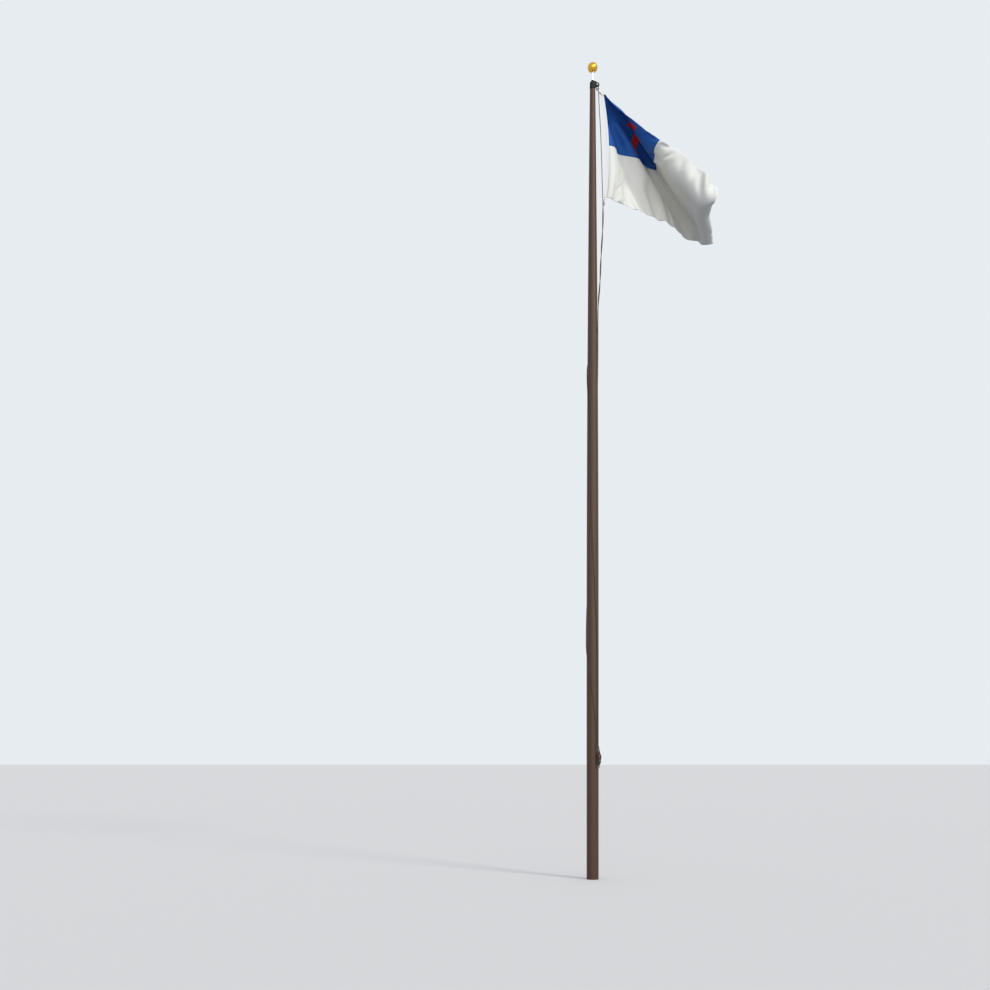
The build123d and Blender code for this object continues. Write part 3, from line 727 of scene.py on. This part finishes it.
def make_metal(name, colour, dull, roughness, metallic=1.0, grain=420.0, bump=0.03, stretch=(1, 1, 1),
               spread=0.09, drive=None, **values):
    """A metal finish whose colour and gloss cloud a little, with a fine grain.

    A drive is a screw's socket or slot, painted near black as painted shade for its recess: its centre in mm,
    azimuth, radius, and half height.
    """
    material, tree, shader, at = new_material(name, Metallic=metallic, Roughness=roughness, **values)
    vector = tree.mapped(at["Object"], stretch)
    clouding = tree.place_group(grain_group, Vector=vector, Grain_Scale=grain, Cloud_Scale=4.0)
    height, cloud = clouding["Grain"], clouding["Cloud"]
    base = tree.mix_colour(tree.spread(cloud, 0.3, 0.7), colour, dull)
    both = tree.math("ADD", tree.math("MULTIPLY", height, 0.6), tree.math("MULTIPLY", cloud, 0.4))
    tree.link(tree.spread(both, 0.3, 0.7, roughness - spread, roughness + spread), shader["Roughness"])
    if drive:
        centre, azimuth, radius, slot = drive
        mask = tree.place_group(
            socket_shade_group, Vector=at["Object"], Centre=tuple(value * MM for value in centre),
            Axis=(cos(radians(azimuth)), sin(radians(azimuth)), 0.0), Radius=radius * MM, Slot=slot * MM,
        )["Mask"]
        # Painted shade: the socket or slot is coloured near black for the shade in a recess that the mesh
        # doesn't have.
        base = tree.mix_colour(mask, base, (0.012, 0.012, 0.012))
        tree.link(tree.math("SUBTRACT", 1.0, mask), shader["Metallic"])
        height = tree.math("SUBTRACT", height, tree.math("MULTIPLY", mask, 5.0))
    tree.link(base, shader["Base Color"])
    add_bump(tree, shader, height, bump, 0.0004)
    return material


def make_plastic(name, colour, dull, roughness, bump=0.05):
    material, tree, shader, at = new_material(name, Roughness=roughness)
    clouding = tree.place_group(grain_group, Vector=at["Object"], Grain_Scale=700.0, Cloud_Scale=30.0)
    cloud = clouding["Cloud"]
    tree.link(tree.mix_colour(tree.spread(cloud, 0.35, 0.7), colour, dull), shader["Base Color"])
    tree.link(tree.spread(cloud, 0.3, 0.7, roughness - 0.08, roughness + 0.1), shader["Roughness"])
    add_bump(tree, shader, clouding["Grain"], bump, 0.0003)
    return material


def make_rope_material():
    material, tree, shader, at = new_material("halyard_braid", Roughness=0.78, Sheen_Weight=0.05)
    braid = tree.place_group(braid_group, UV=at["UV"], Plaits=8.0, Pitch=0.0055)
    dark, light, gap_shade_colour = (0.060, 0.034, 0.022), (0.108, 0.064, 0.043), (0.022, 0.014, 0.010)
    tone = tree.mix_colour(tree.spread(braid["Fibre"], 0.3, 0.7), dark, light)
    # Painted shade: the low parts between the plaits are coloured dark for the shade that falls into them.
    gap_shaded_tone = tree.mix_colour(tree.spread(braid["Height"], 0.05, 0.6), gap_shade_colour, tone)
    tree.link(gap_shaded_tone, shader["Base Color"])
    height = tree.math("ADD", braid["Height"], tree.math("MULTIPLY", braid["Fibre"], 0.25))
    add_bump(tree, shader, height, 0.8, 0.0006)
    return material


def make_cloth_material(name, look, rows, thread, yarns=900.0, roughness=0.62, cross=None):
    """Woven cloth with rows of stitches: each row is the axis that it crosses, and its line in mm."""
    material, tree, shader, at = new_material(
        name, Roughness=roughness, Sheen_Weight=0.05, Sheen_Roughness=0.4, Specular_IOR_Level=0.25
    )
    u, v, _ = tree.split(at["UV"])
    weave = tree.place_group(weave_group, UV=at["UV"], Yarns=yarns)
    base = tree.mix_colour(tree.spread(weave["Slub"], 0.25, 0.75), *look)
    height = tree.math("MULTIPLY", weave["Height"], 0.3)
    raised = [(weave["Slub"], 0.15)]
    if cross:
        inside, edge = cross(tree, u, v)
        base = tree.mix_colour(inside, base, (0.62, 0.012, 0.012))
        raised.append((edge, 0.8))
    for axis, line in rows:
        across, along = (u, v) if axis == "u" else (v, u)
        row = tree.place_group(stitch_group, Across=across, Along=along, Line=line * MM)
        base = tree.mix_colour(row["Thread"], base, thread)
        raised += [(row["Thread"], 0.8), (row["Pucker"], 0.6)]
    for value, share in raised:
        height = tree.math("ADD", height, tree.math("MULTIPLY", value, share))
    tree.link(base, shader["Base Color"])
    add_bump(tree, shader, height, 0.5, 0.0005)
    return material


def cross_mask(tree, u, v):
    """The sewn cross on the canton: its face, and its turned edge, from the flat map in metres."""
    middle, half = 0.500, 0.040
    top, foot, arms, bar = 0.040, 0.565, 0.155, 0.210

    def past(value, centre, reach):
        away = tree.math("ABSOLUTE", tree.math("SUBTRACT", value, centre))
        return tree.math("SUBTRACT", away, reach)

    post_out = tree.math("MAXIMUM", past(u, middle, half), past(v, (top + foot) / 2, (foot - top) / 2))
    bar_out = tree.math("MAXIMUM", past(u, middle, arms), past(v, bar, half))
    out = tree.math("MINIMUM", post_out, bar_out)
    inside = tree.math("LESS_THAN", out, 0.0)
    turned = tree.math("LESS_THAN", tree.math("ABSOLUTE", tree.math("ADD", out, 0.004)), 0.0008)
    return inside, tree.math("MULTIPLY", inside, turned)


steel_look = ((0.50, 0.50, 0.49), (0.38, 0.38, 0.38), 0.38)
slot_materials = {
    "bronze_aluminium": make_metal(
        "bronze_anodised", (0.100, 0.056, 0.035), (0.080, 0.044, 0.028), 0.50, metallic=0.2, grain=160.0,
        bump=0.02, stretch=(1, 1, 0.04), Specular_IOR_Level=0.3,
    ),
    "dark_casting": make_metal(
        "dark_cast_bronze", (0.014, 0.010, 0.008), (0.009, 0.006, 0.005), 0.55, metallic=0.1, grain=900.0,
        bump=0.12, Specular_IOR_Level=0.3,
    ),
    "bright_aluminium": make_metal(
        "turned_aluminium", (0.86, 0.87, 0.86), (0.74, 0.75, 0.75), 0.28, grain=300.0, stretch=(1, 1, 12)
    ),
    "gold_aluminium": make_metal(
        "gold_anodised", (0.72, 0.43, 0.06), (0.64, 0.36, 0.045), 0.26, grain=240.0, bump=0.01, spread=0.05
    ),
    "steel": make_metal("stainless_steel", *steel_look),
    "bearing_plastic": make_plastic("bearing_nylon", (0.78, 0.77, 0.72), (0.70, 0.69, 0.64), 0.5),
    "bushing_bronze": make_metal("bearing_bronze", (0.58, 0.38, 0.17), (0.46, 0.28, 0.12), 0.38),
    "sheave_plastic": make_plastic("sheave_nylon", (0.030, 0.030, 0.031), (0.045, 0.044, 0.043), 0.48),
    "snap_metal": make_metal("nickel_plate", (0.72, 0.70, 0.64), (0.58, 0.56, 0.50), 0.24, bump=0.02),
    "white_vinyl": make_plastic("white_vinyl", (0.88, 0.88, 0.84), (0.80, 0.79, 0.73), 0.36),
    "grommet_brass": make_metal("pressed_brass", (0.64, 0.46, 0.18), (0.50, 0.35, 0.12), 0.4, bump=0.02),
}
rope_material = make_rope_material()
twine = make_plastic("whipping_twine", (0.62, 0.57, 0.46), (0.50, 0.45, 0.36), 0.8, bump=0.3)


def dress(node, material):
    for slot in frame["nodes"][node].material_slots:
        slot.material = material


def dress_screws():
    """Gives the set screws and the pin a round socket in their ends, and the cleat's screws a slot, as
    painted shade with a dip in the bump rather than a cut.
    """
    no_slot = 1000
    screws = [("sheave_pin", (sheave_x, 0, sheave_z), 90, 1.3, no_slot)]
    for i in range(3):
        centre = (0, 0, exposed_height - set_screw_drop)
        screws.append((f"set_screw_{i + 1}", centre, 90 + 120 * i, 1.5, no_slot))
    for name, side in (("cleat_screw_upper", 1), ("cleat_screw_lower", -1)):
        centre = (0, 0, cleat_height + side * cleat_screw_offset)
        screws.append((name, centre, cleat_azimuth, 4.4, 0.6))
    for name, *drive in screws:
        dress(name, make_metal(name + "_steel", *steel_look, drive=drive))


for part in frame["record"]["subparts"]:
    if part["material_slot"] in slot_materials:
        dress(part["node"], slot_materials[part["material_slot"]])
dress_screws()


# ---- ropes on their bodies

finish_piece(halyard, None, "halyard", rope_material, "halyard_wrap_a", "halyard_wrap_b",
             "halyard_cleat_turns", "halyard_down_leg", "halyard_pair_a", "halyard_pair_b")
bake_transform(halyard)
for name, end, onward in (("upper_splice_whipping", upper_splice_end, upper_onward),
                          ("lower_splice_whipping", lower_splice_end, lower_onward)):
    finish_piece(whipping(name, end, onward), "truck", "halyard", twine)


# ---- snap covers

def make_snap_boot(name, matrix):
    """The soft boot over a snap's barrel and shank: a neck, shoulders, and a rolled lip at its mouth."""
    stations = (
        (18.9, 8.0, 8.0), (19.6, 8.6, 8.6), (22, 8.9, 9.0), (26, 9.1, 10.4), (30, 9.2, 12.6), (34, 9.2, 14.2),
        (40, 9.1, 15.0), (48, 9.0, 15.2), (52.6, 8.9, 15.2), (53.6, 9.3, 15.5), (54.6, 8.9, 15.2),
    )
    wall, round_over = 1.3, 0.25
    boot = ringed(name, stations, 40)
    apply_modifier(boot, "SOLIDIFY", thickness=wall * MM, offset=-1.0, use_even_offset=True)
    apply_modifier(boot, "BEVEL", width=round_over * MM, segments=2, limit_method="ANGLE",
                   angle_limit=radians(40))
    return smooth(place(boot, metre_matrix(matrix)), 50)


for side, matrix in (("upper", upper_snap), ("lower", lower_snap)):
    boot = make_snap_boot(side + "_snap_boot", matrix)
    finish_piece(boot, "truck", "white_vinyl", slot_materials["white_vinyl"], side + "_snap_cover")


# ---- the flag's cloth

def smooth_rays(leans):
    """The rays' directions, smoothed by a cubic B-spline, and the turn from the first ray to each."""
    angles = np.stack([ray_falls, leans], 1)
    knots = np.vstack([2 * angles[0] - angles[1], angles, 2 * angles[-1] - angles[-2]])
    rows = []
    for i in range(len(angles) - 1):
        u = np.linspace(0, 1, ray_steps, endpoint=False)[:, None]
        weights = ((1 - u)**3, 3 * u**3 - 6 * u**2 + 4, -3 * u**3 + 3 * u**2 + 3 * u + 1, u**3)
        rows.append(sum(weight * knots[i + k] for k, weight in enumerate(weights)) / 6)
    rays = np.radians(np.vstack(rows + [angles[-1:]]))
    ways = np.stack([np.cos(rays[:, 1]) * np.cos(rays[:, 0]), np.sin(rays[:, 1]),
                     np.cos(rays[:, 1]) * np.sin(rays[:, 0])], 1)
    turns = np.concatenate([[0], np.cumsum(np.linalg.norm(np.diff(ways, axis=0), axis=1))])
    return ways, turns


FLY, HOIST = flag_fly * MM, flag_hoist * MM
viewer = np.array(viewer_place)
# Where the cloth's edges and the canton's corner come to lie as the wind and its weight pull on it:
# for the top edge across and up, for the others a share along the edge, across and up, in millimetres
top_edge = (
    (128, 9080), (264, 8936), (377, 8855), (465, 8792), (616, 8673), (797, 8541), (916, 8466), (1004, 8434),
    (1136, 8334), (1218, 8227), (1294, 8215), (1343, 8152), (1356, 8064), (1431, 8013), (1450, 7951),
)
foot_edge = (
    (0, 161, 7884), (.14, 339, 7826), (.33, 590, 7713), (.43, 716, 7656), (.53, 841, 7599), (.64, 967, 7505),
    (.76, 1080, 7385), (.88, 1218, 7373), (1, 1375, 7361),
)
fly_edge = ((0, 1450, 7951), (.25, 1400, 7830), (.5, 1345, 7690), (.75, 1385, 7500), (1, 1375, 7361))
canton_foot = ((.377, 611, 8296), (.47, 654, 8284))
canton_side = ((.2, 738, 8440), (.36, 692, 8354), (.5, 654, 8284))
top_pull, foot_pull, fly_pull, canton_pull, side_pull = 0.3, 0.2, 0.12, 0.3, 0.3
# How far back the wind carries the cloth: shares along the fly and down the hoist, metres, and strength
depth_guides = (
    (.31, .5, .30, .2), (.47, .5, .52, .3), (.47, .25, .19, .1), (.53, 1, .45, .2), (.66, 1, .66, .2),
    (.8, 1, .82, .2), (.9, 1, .88, .2), (1, 1, .87, .2), (1, .8, .72, .1), (.8, .6, .58, .1),
)
# Wrinkles that the cloth starts with: centre along the fly and down the hoist, half sizes, wave length in
# metres, the waves' turn from upright, and their height in metres
wrinkles = (
    (0.80, 0.10, 0.26, 0.22, 0.150, 24, 0.022), (0.72, 0.25, 0.20, 0.18, 0.210, -30, 0.014),
    (0.95, 0.30, 0.10, 0.35, 0.170, 62, 0.014), (0.88, 0.92, 0.16, 0.12, 0.190, 10, 0.020),
)
# How the cloth is relaxed: the points of its first grid, the rounds with the guides' share and the weight's
# step in metres, the guides' first pull, and the stiffness of bias threads and of stays over some threads
coarse_grid = (51, 31)
relax_passes = ((120, 1.0, 0.00002), (60, 0.3, 0.00001))
first_pull = 1.15
bias_stiffness, stays = 0.35, ((2, 0.25), (4, 0.12))


def cloth_hoist(share):
    """The edge of the header that the cloth is sewn to, in metres."""
    x, y, z = header_line(share)
    return np.stack([x + header_width / 2 + cloth_start, y, z], -1) * MM


def fanned_cloth(columns, rows):
    """The cloth fanned out in rays from its top corner, with its upper fold fading out below the canton."""
    s, t = np.meshgrid(np.linspace(0, 1, columns), np.linspace(0, 1, rows))
    along, down = FLY * s, HOIST * t
    length = np.hypot(along, down)
    fade = np.clip((length / MM - fold_fade[0]) / (fold_fade[1] - fold_fade[0]), 0, 1)
    spread = 0
    for leans, share in ((folded_leans, 1 - fade), (faded_leans, fade)):
        ways, turns = smooth_rays(leans)
        turn = np.arctan2(along, down) / (pi / 2) * turns[-1]
        way = np.stack([np.interp(turn, turns, ways[:, axis]) for axis in range(3)], -1)
        spread = spread + way * share[..., None]
    corner = cloth_hoist(np.array(0.0))
    fan = corner + spread * length[..., None]
    to_header = cloth_hoist(t) - corner - ways[0] * down[..., None]
    fan += to_header * (np.clip(1 - s / hoist_reach, 0, 1)**3)[..., None]
    for s_middle, t_middle, s_half, t_half, wave, turned, height in wrinkles:
        inside = np.clip(1 - ((s - s_middle) / s_half)**2 - ((t - t_middle) / t_half)**2, 0, 1)
        across = (along - down * np.tan(radians(turned))) * cos(radians(turned))
        fan[..., 1] += height * inside * np.sin(2 * pi * across / wave)
    return fan


def cloth_links(columns, rows):
    """Pairs of points with their lengths in the flat cloth: threads, bias threads and stays against folds."""
    index = np.arange(columns * rows).reshape(rows, columns)
    wide, high = FLY / (columns - 1), HOIST / (rows - 1)
    links = []

    def add(first, second, rest, stiff, short_only=False):
        n, m = np.minimum(first.shape, second.shape)
        links.append((first[:n, :m].ravel(), second[:n, :m].ravel(), rest, stiff, short_only))

    def add_straight(gap, o, stiff, short_only=False):
        for grid, size in ((index, wide), (index.T, high)):
            add(grid[:, o:-gap:2 * gap], grid[:, o + gap::2 * gap], size * gap, stiff, short_only)

    for o in (0, 1):
        add_straight(1, o, 1.0)
        for q in (0, 1):
            add(index[o:-1:2, q:-1:2], index[o + 1::2, q + 1::2], hypot(wide, high), bias_stiffness)
            add(index[o + 1::2, q:-1:2], index[o:-1:2, q + 1::2], hypot(wide, high), bias_stiffness)
    for gap, stiff in stays:
        for o in range(2 * gap):
            add_straight(gap, o, stiff, True)
    return index, [link for link in links if len(link[0])]


def cloth_guides(columns, rows, index):
    """The points that are drawn to a place, that place across and up, and how strongly."""
    found = {}
    s, t = np.linspace(0, 1, columns), np.linspace(0, 1, rows)
    top = np.array(top_edge, float)
    reach = np.concatenate([[0], np.cumsum(np.linalg.norm(np.diff(top, axis=0), axis=1))])
    foot, fly = np.array(foot_edge), np.array(fly_edge)
    for i in range(columns):
        found[index[0, i]] = [np.interp(s[i] * reach[-1], reach, top[:, k]) for k in (0, 1)] + [top_pull]
        found[index[-1, i]] = [np.interp(s[i], foot[:, 0], foot[:, k]) for k in (1, 2)] + [foot_pull]
    for j in range(rows):
        found[index[j, -1]] = [np.interp(t[j], fly[:, 0], fly[:, k]) for k in (1, 2)] + [fly_pull]
    row, column = round(canton_hoist_share * (rows - 1)), round(canton_fly_share * (columns - 1))
    for share, x, z in canton_foot:
        found[index[row, round(share * (columns - 1))]] = [x, z, canton_pull]
    for share, x, z in canton_side:
        found[index[round(share * (rows - 1)), column]] = [x, z, side_pull]
    keys = np.array(sorted(found))
    data = np.array([found[key] for key in keys])
    data[:, :2] *= MM
    return keys, data


def relax_cloth(cloth, rounds, guide_share, weight):
    """Draws the cloth to its guides while every thread keeps its length, under a little weight."""
    rows, columns, _ = cloth.shape
    s, t, depth, pull = np.array(depth_guides).T
    gap_shaded_tone = (np.round(t * (rows - 1)) * columns + np.round(s * (columns - 1))).astype(int)
    index, links = cloth_links(columns, rows)
    keys, data = cloth_guides(columns, rows, index)
    points = cloth.reshape(-1, 3).copy()
    held = cloth_hoist(np.linspace(0, 1, rows))
    for n in range(rounds):
        fade = guide_share * (first_pull - n / rounds)
        points[:, 2] -= weight
        points[gap_shaded_tone, 1] += (depth - points[gap_shaded_tone, 1]) * pull * fade
        away = ((points[keys, 1] - viewer[1]) / -viewer[1])[:, None]
        target = viewer[[0, 2]] + (data[:, :2] - viewer[[0, 2]]) * away
        gap = target - points[keys][:, [0, 2]]
        points[np.ix_(keys, [0, 2])] += gap * (data[:, 2:3] * fade)
        for a, b, rest, stiff, short_only in links:
            between = points[b] - points[a]
            length = np.linalg.norm(between, axis=1, keepdims=True)
            give = (length - rest) / np.maximum(length, 1e-9)
            if short_only:
                give = np.minimum(give, 0)
            move = between * (give * 0.5 * stiff)
            points[a] += move
            points[b] -= move
        points[index[:, 0]] = held
    return points.reshape(rows, columns, 3)


def finer(cloth):
    """The cloth with a point between each two."""

    def doubled(grid):
        out = np.empty((grid.shape[0] * 2 - 1,) + grid.shape[1:])
        out[::2] = grid
        middle = (grid[:-1] + grid[1:]) / 2
        middle[1:-1] = (9 * (grid[1:-2] + grid[2:-1]) - grid[:-3] - grid[3:]) / 16
        out[1::2] = middle
        return out

    return doubled(doubled(cloth).transpose(1, 0, 2)).transpose(1, 0, 2)


def shape_cloth():
    cloth = fanned_cloth(*coarse_grid)
    for rounds, guide_share, weight in relax_passes:
        cloth = finer(relax_cloth(cloth, rounds, guide_share, weight))
    return cloth


cloth_shape = shape_cloth()


def cloth_at(s, t):
    """The shaped cloth at lists of shares along the fly and down the hoist."""
    rows, columns, _ = cloth_shape.shape

    def spline_share(grid, shares, count):
        place = np.clip(np.array(shares) * (count - 1), 0, count - 1)
        low = np.minimum(place.astype(int), count - 2)
        u = (place - low).reshape(-1, *([1] * (grid.ndim - 1)))
        p0, p1, p2, p3 = (grid[np.clip(low + k, 0, count - 1)] for k in (-1, 0, 1, 2))
        return (
            p1 + 0.5 * u * (p2 - p0 + u * (2 * p0 - 5 * p1 + 4 * p2 - p3 + u * (3 * (p1 - p2) + p3 - p0)))
        )

    down = spline_share(cloth_shape, t, rows)
    return spline_share(down.transpose(1, 0, 2), s, columns).transpose(1, 0, 2)


def even_shares(low, high, size, marks=()):
    """Shares of a size from low to high, about a cell apart, with lines at the marks in mm as well."""
    count = max(2, round((high - low) * size / cell) + 1)
    shares = [low + (high - low) * i / (count - 1) for i in range(count)]
    for mark in marks:
        place = mark / size
        shares = [share for share in shares if abs(share - place) * size > cell * 0.3 or share in (low, high)]
        shares.append(place)
    return sorted(set(shares))


def flat_grid(name, columns, rows):
    """A flat grid, and how far across and down it each of its points lies, as shares."""
    deselect_all()
    bpy.ops.mesh.primitive_grid_add(x_subdivisions=columns, y_subdivisions=rows, size=2)
    piece = named(name)
    flat = np.empty(len(piece.data.vertices) * 3)
    piece.data.vertices.foreach_get("co", flat)
    flat = flat.reshape(-1, 3)
    return piece, (flat[:, 0] + 1) / 2, (1 - flat[:, 1]) / 2


def lay_out(mesh, places, spots):
    """Moves a grid's points to their places, and maps each to its spot on the flat cloth, in metres."""
    mesh.vertices.foreach_set("co", places.ravel())
    corners = np.empty(len(mesh.loops), int)
    mesh.loops.foreach_get("vertex_index", corners)
    layer = mesh.uv_layers.active or mesh.uv_layers.new()
    layer.data.foreach_set("uv", spots[corners].ravel())
    mesh.update()


def make_cloth_panel(name, s_shares, t_shares, folds):
    """A panel of cloth on the flag's shape, thicker where it is folded: an axis, and two lines in mm."""
    panel, across, down = flat_grid(name, len(s_shares) - 1, len(t_shares) - 1)
    column = np.rint(across * (len(s_shares) - 1)).astype(int)
    row = np.rint(down * (len(t_shares) - 1)).astype(int)
    s, t = np.array(s_shares)[column], np.array(t_shares)[row]
    lay_out(panel.data, cloth_at(s_shares, t_shares)[row, column], np.stack([s * FLY, t * HOIST], 1))
    folded = np.zeros(len(s), bool)
    for axis, low, high in folds:
        value = s * flag_fly if axis == "u" else t * flag_hoist
        folded |= (value >= low - 0.01) & (value <= high + 0.01)
    group = panel.vertex_groups.new(name="fold")
    for share in (False, True):
        group.add(np.flatnonzero(folded == share).tolist(), float(share), "REPLACE")
    apply_modifier(panel, "SOLIDIFY", thickness=cloth_fold * MM, offset=0.0, vertex_group="fold",
                   thickness_vertex_group=cloth_thin / cloth_fold)
    for face in panel.data.polygons:
        face.use_smooth = True
    return panel


top_hem = ("v", 0, hem)
foot_hem = ("v", flag_hoist - hem, flag_hoist)
outer_hem = ("u", flag_fly - fly_hem, flag_fly)
seam_over = ("v", canton_high - seam, canton_high)
seam_under = ("v", canton_high, canton_high + seam)
side_seam = ("u", canton_wide - seam, canton_wide)
side_seam_beyond = ("u", canton_wide, canton_wide + seam)


def fold_edge(place, beyond):
    """Two lines in mm between which the cloth's thickness steps, beyond a place or before it."""
    return (place, place + fold_step) if beyond else (place - fold_step, place)


outer_edge = fold_edge(flag_fly - fly_hem, False)
canton_s = even_shares(0, canton_fly_share, flag_fly, fold_edge(canton_wide - seam, False))
fly_s = even_shares(canton_fly_share, 1, flag_fly, fold_edge(canton_wide + seam, True) + outer_edge)
lower_s = even_shares(0, 1, flag_fly, outer_edge)
upper_edges = fold_edge(hem, True) + fold_edge(canton_high - seam, False)
upper_t = even_shares(0, canton_hoist_share, flag_hoist, upper_edges)
lower_edges = fold_edge(canton_high + seam, True) + fold_edge(flag_hoist - hem, False)
lower_t = even_shares(canton_hoist_share, 1, flag_hoist, lower_edges)

white_look, white_thread = ((0.88, 0.86, 0.78), (0.82, 0.80, 0.72)), (0.90, 0.88, 0.80)
top_rows = [("v", stitch_inset), ("v", hem - stitch_inset)]
fly_rows = [("u", flag_fly - inset) for inset in (stitch_inset, 8, 14, fly_hem - stitch_inset)]
blue_cloth = make_cloth_material(
    "blue_nylon", ((0.012, 0.095, 0.370), (0.009, 0.078, 0.310)),
    top_rows + [(axis, line - inset) for axis, line in (("v", canton_high), ("u", canton_wide))
                for inset in (stitch_inset, seam - seam_inset)],
    (0.012, 0.075, 0.330), cross=cross_mask,
)
fly_cloth = make_cloth_material(
    "white_nylon_fly", white_look,
    top_rows + [("u", canton_wide + inset) for inset in (stitch_inset, seam - seam_inset)] + fly_rows,
    white_thread,
)
lower_cloth = make_cloth_material(
    "white_nylon_lower", white_look,
    [("v", canton_high + inset) for inset in (stitch_inset, seam - seam_inset)]
    + [("v", flag_hoist - inset) for inset in (stitch_inset, hem - stitch_inset)] + fly_rows,
    white_thread,
)

canton = make_cloth_panel("flag_canton_cloth", canton_s, upper_t, (top_hem, seam_over, side_seam))
fly_panel = make_cloth_panel("flag_fly_cloth", fly_s, upper_t, (top_hem, side_seam_beyond, outer_hem))
lower_panel = make_cloth_panel("flag_lower_cloth", lower_s, lower_t, (seam_under, foot_hem, outer_hem))
finish_piece(canton, "truck", "blue_nylon", blue_cloth, "flag_canton")
finish_piece(fly_panel, "truck", "white_nylon", fly_cloth, "flag_fly_panel")
finish_piece(lower_panel, "truck", "white_nylon", lower_cloth, "flag_lower_panel")


# ---- the header

def make_header():
    """The canvas band along the hoist, turned in at its edges, with a hole for each grommet."""
    header, across, down = flat_grid("flag_header_band", 8, 120)
    length = (Vector(header_top) - Vector(header_foot)).length
    x, y, z = header_line(down)
    places = np.stack([x + (across - 0.5) * header_width, y, z], 1) * MM
    lay_out(header.data, places, np.stack([across * header_width * MM, down * length * MM], 1))
    apply_modifier(header, "SOLIDIFY", thickness=header_thickness * MM, offset=0.0)
    for upper in (True, False):
        deselect_all()
        bpy.ops.mesh.primitive_cylinder_add(
            vertices=40, radius=(grommet_hole_radius + header_hole_room) * MM, depth=0.04,
            location=grommet_place(upper) * MM, rotation=(radians(90), 0, 0),
        )
        cutter = bpy.context.object
        apply_modifier(header, "BOOLEAN", object=cutter, operation="DIFFERENCE", solver="EXACT")
        bpy.data.objects.remove(cutter)
    apply_modifier(header, "BEVEL", width=0.8 * MM, segments=3, limit_method="ANGLE", angle_limit=radians(60))
    return smooth(header, 40)


canvas = make_cloth_material(
    "header_canvas", ((0.90, 0.89, 0.84), (0.83, 0.82, 0.77)),
    [("u", 2.5), ("u", header_width - 2.5), ("u", header_width - 6), ("v", 4), ("v", flag_hoist - 30)],
    (0.80, 0.82, 0.78), yarns=1500.0, roughness=0.8,
)
header = finish_piece(make_header(), "truck", "header_canvas", canvas, "flag_header")


# ---- floor

def make_floor():
    deselect_all()
    bpy.ops.mesh.primitive_plane_add(size=120, location=(0, 0, 0))
    floor = bpy.context.object
    floor.name = "studio_floor"
    material, tree, shader, _ = new_material("studio_floor", Roughness=0.9)
    path = tree.nodes.new("ShaderNodeLightPath").outputs
    tree.link(tree.mix_colour(path["Is Diffuse Ray"], floor_shown, floor_bounce), shader["Base Color"])
    floor.data.materials.append(material)


make_floor()
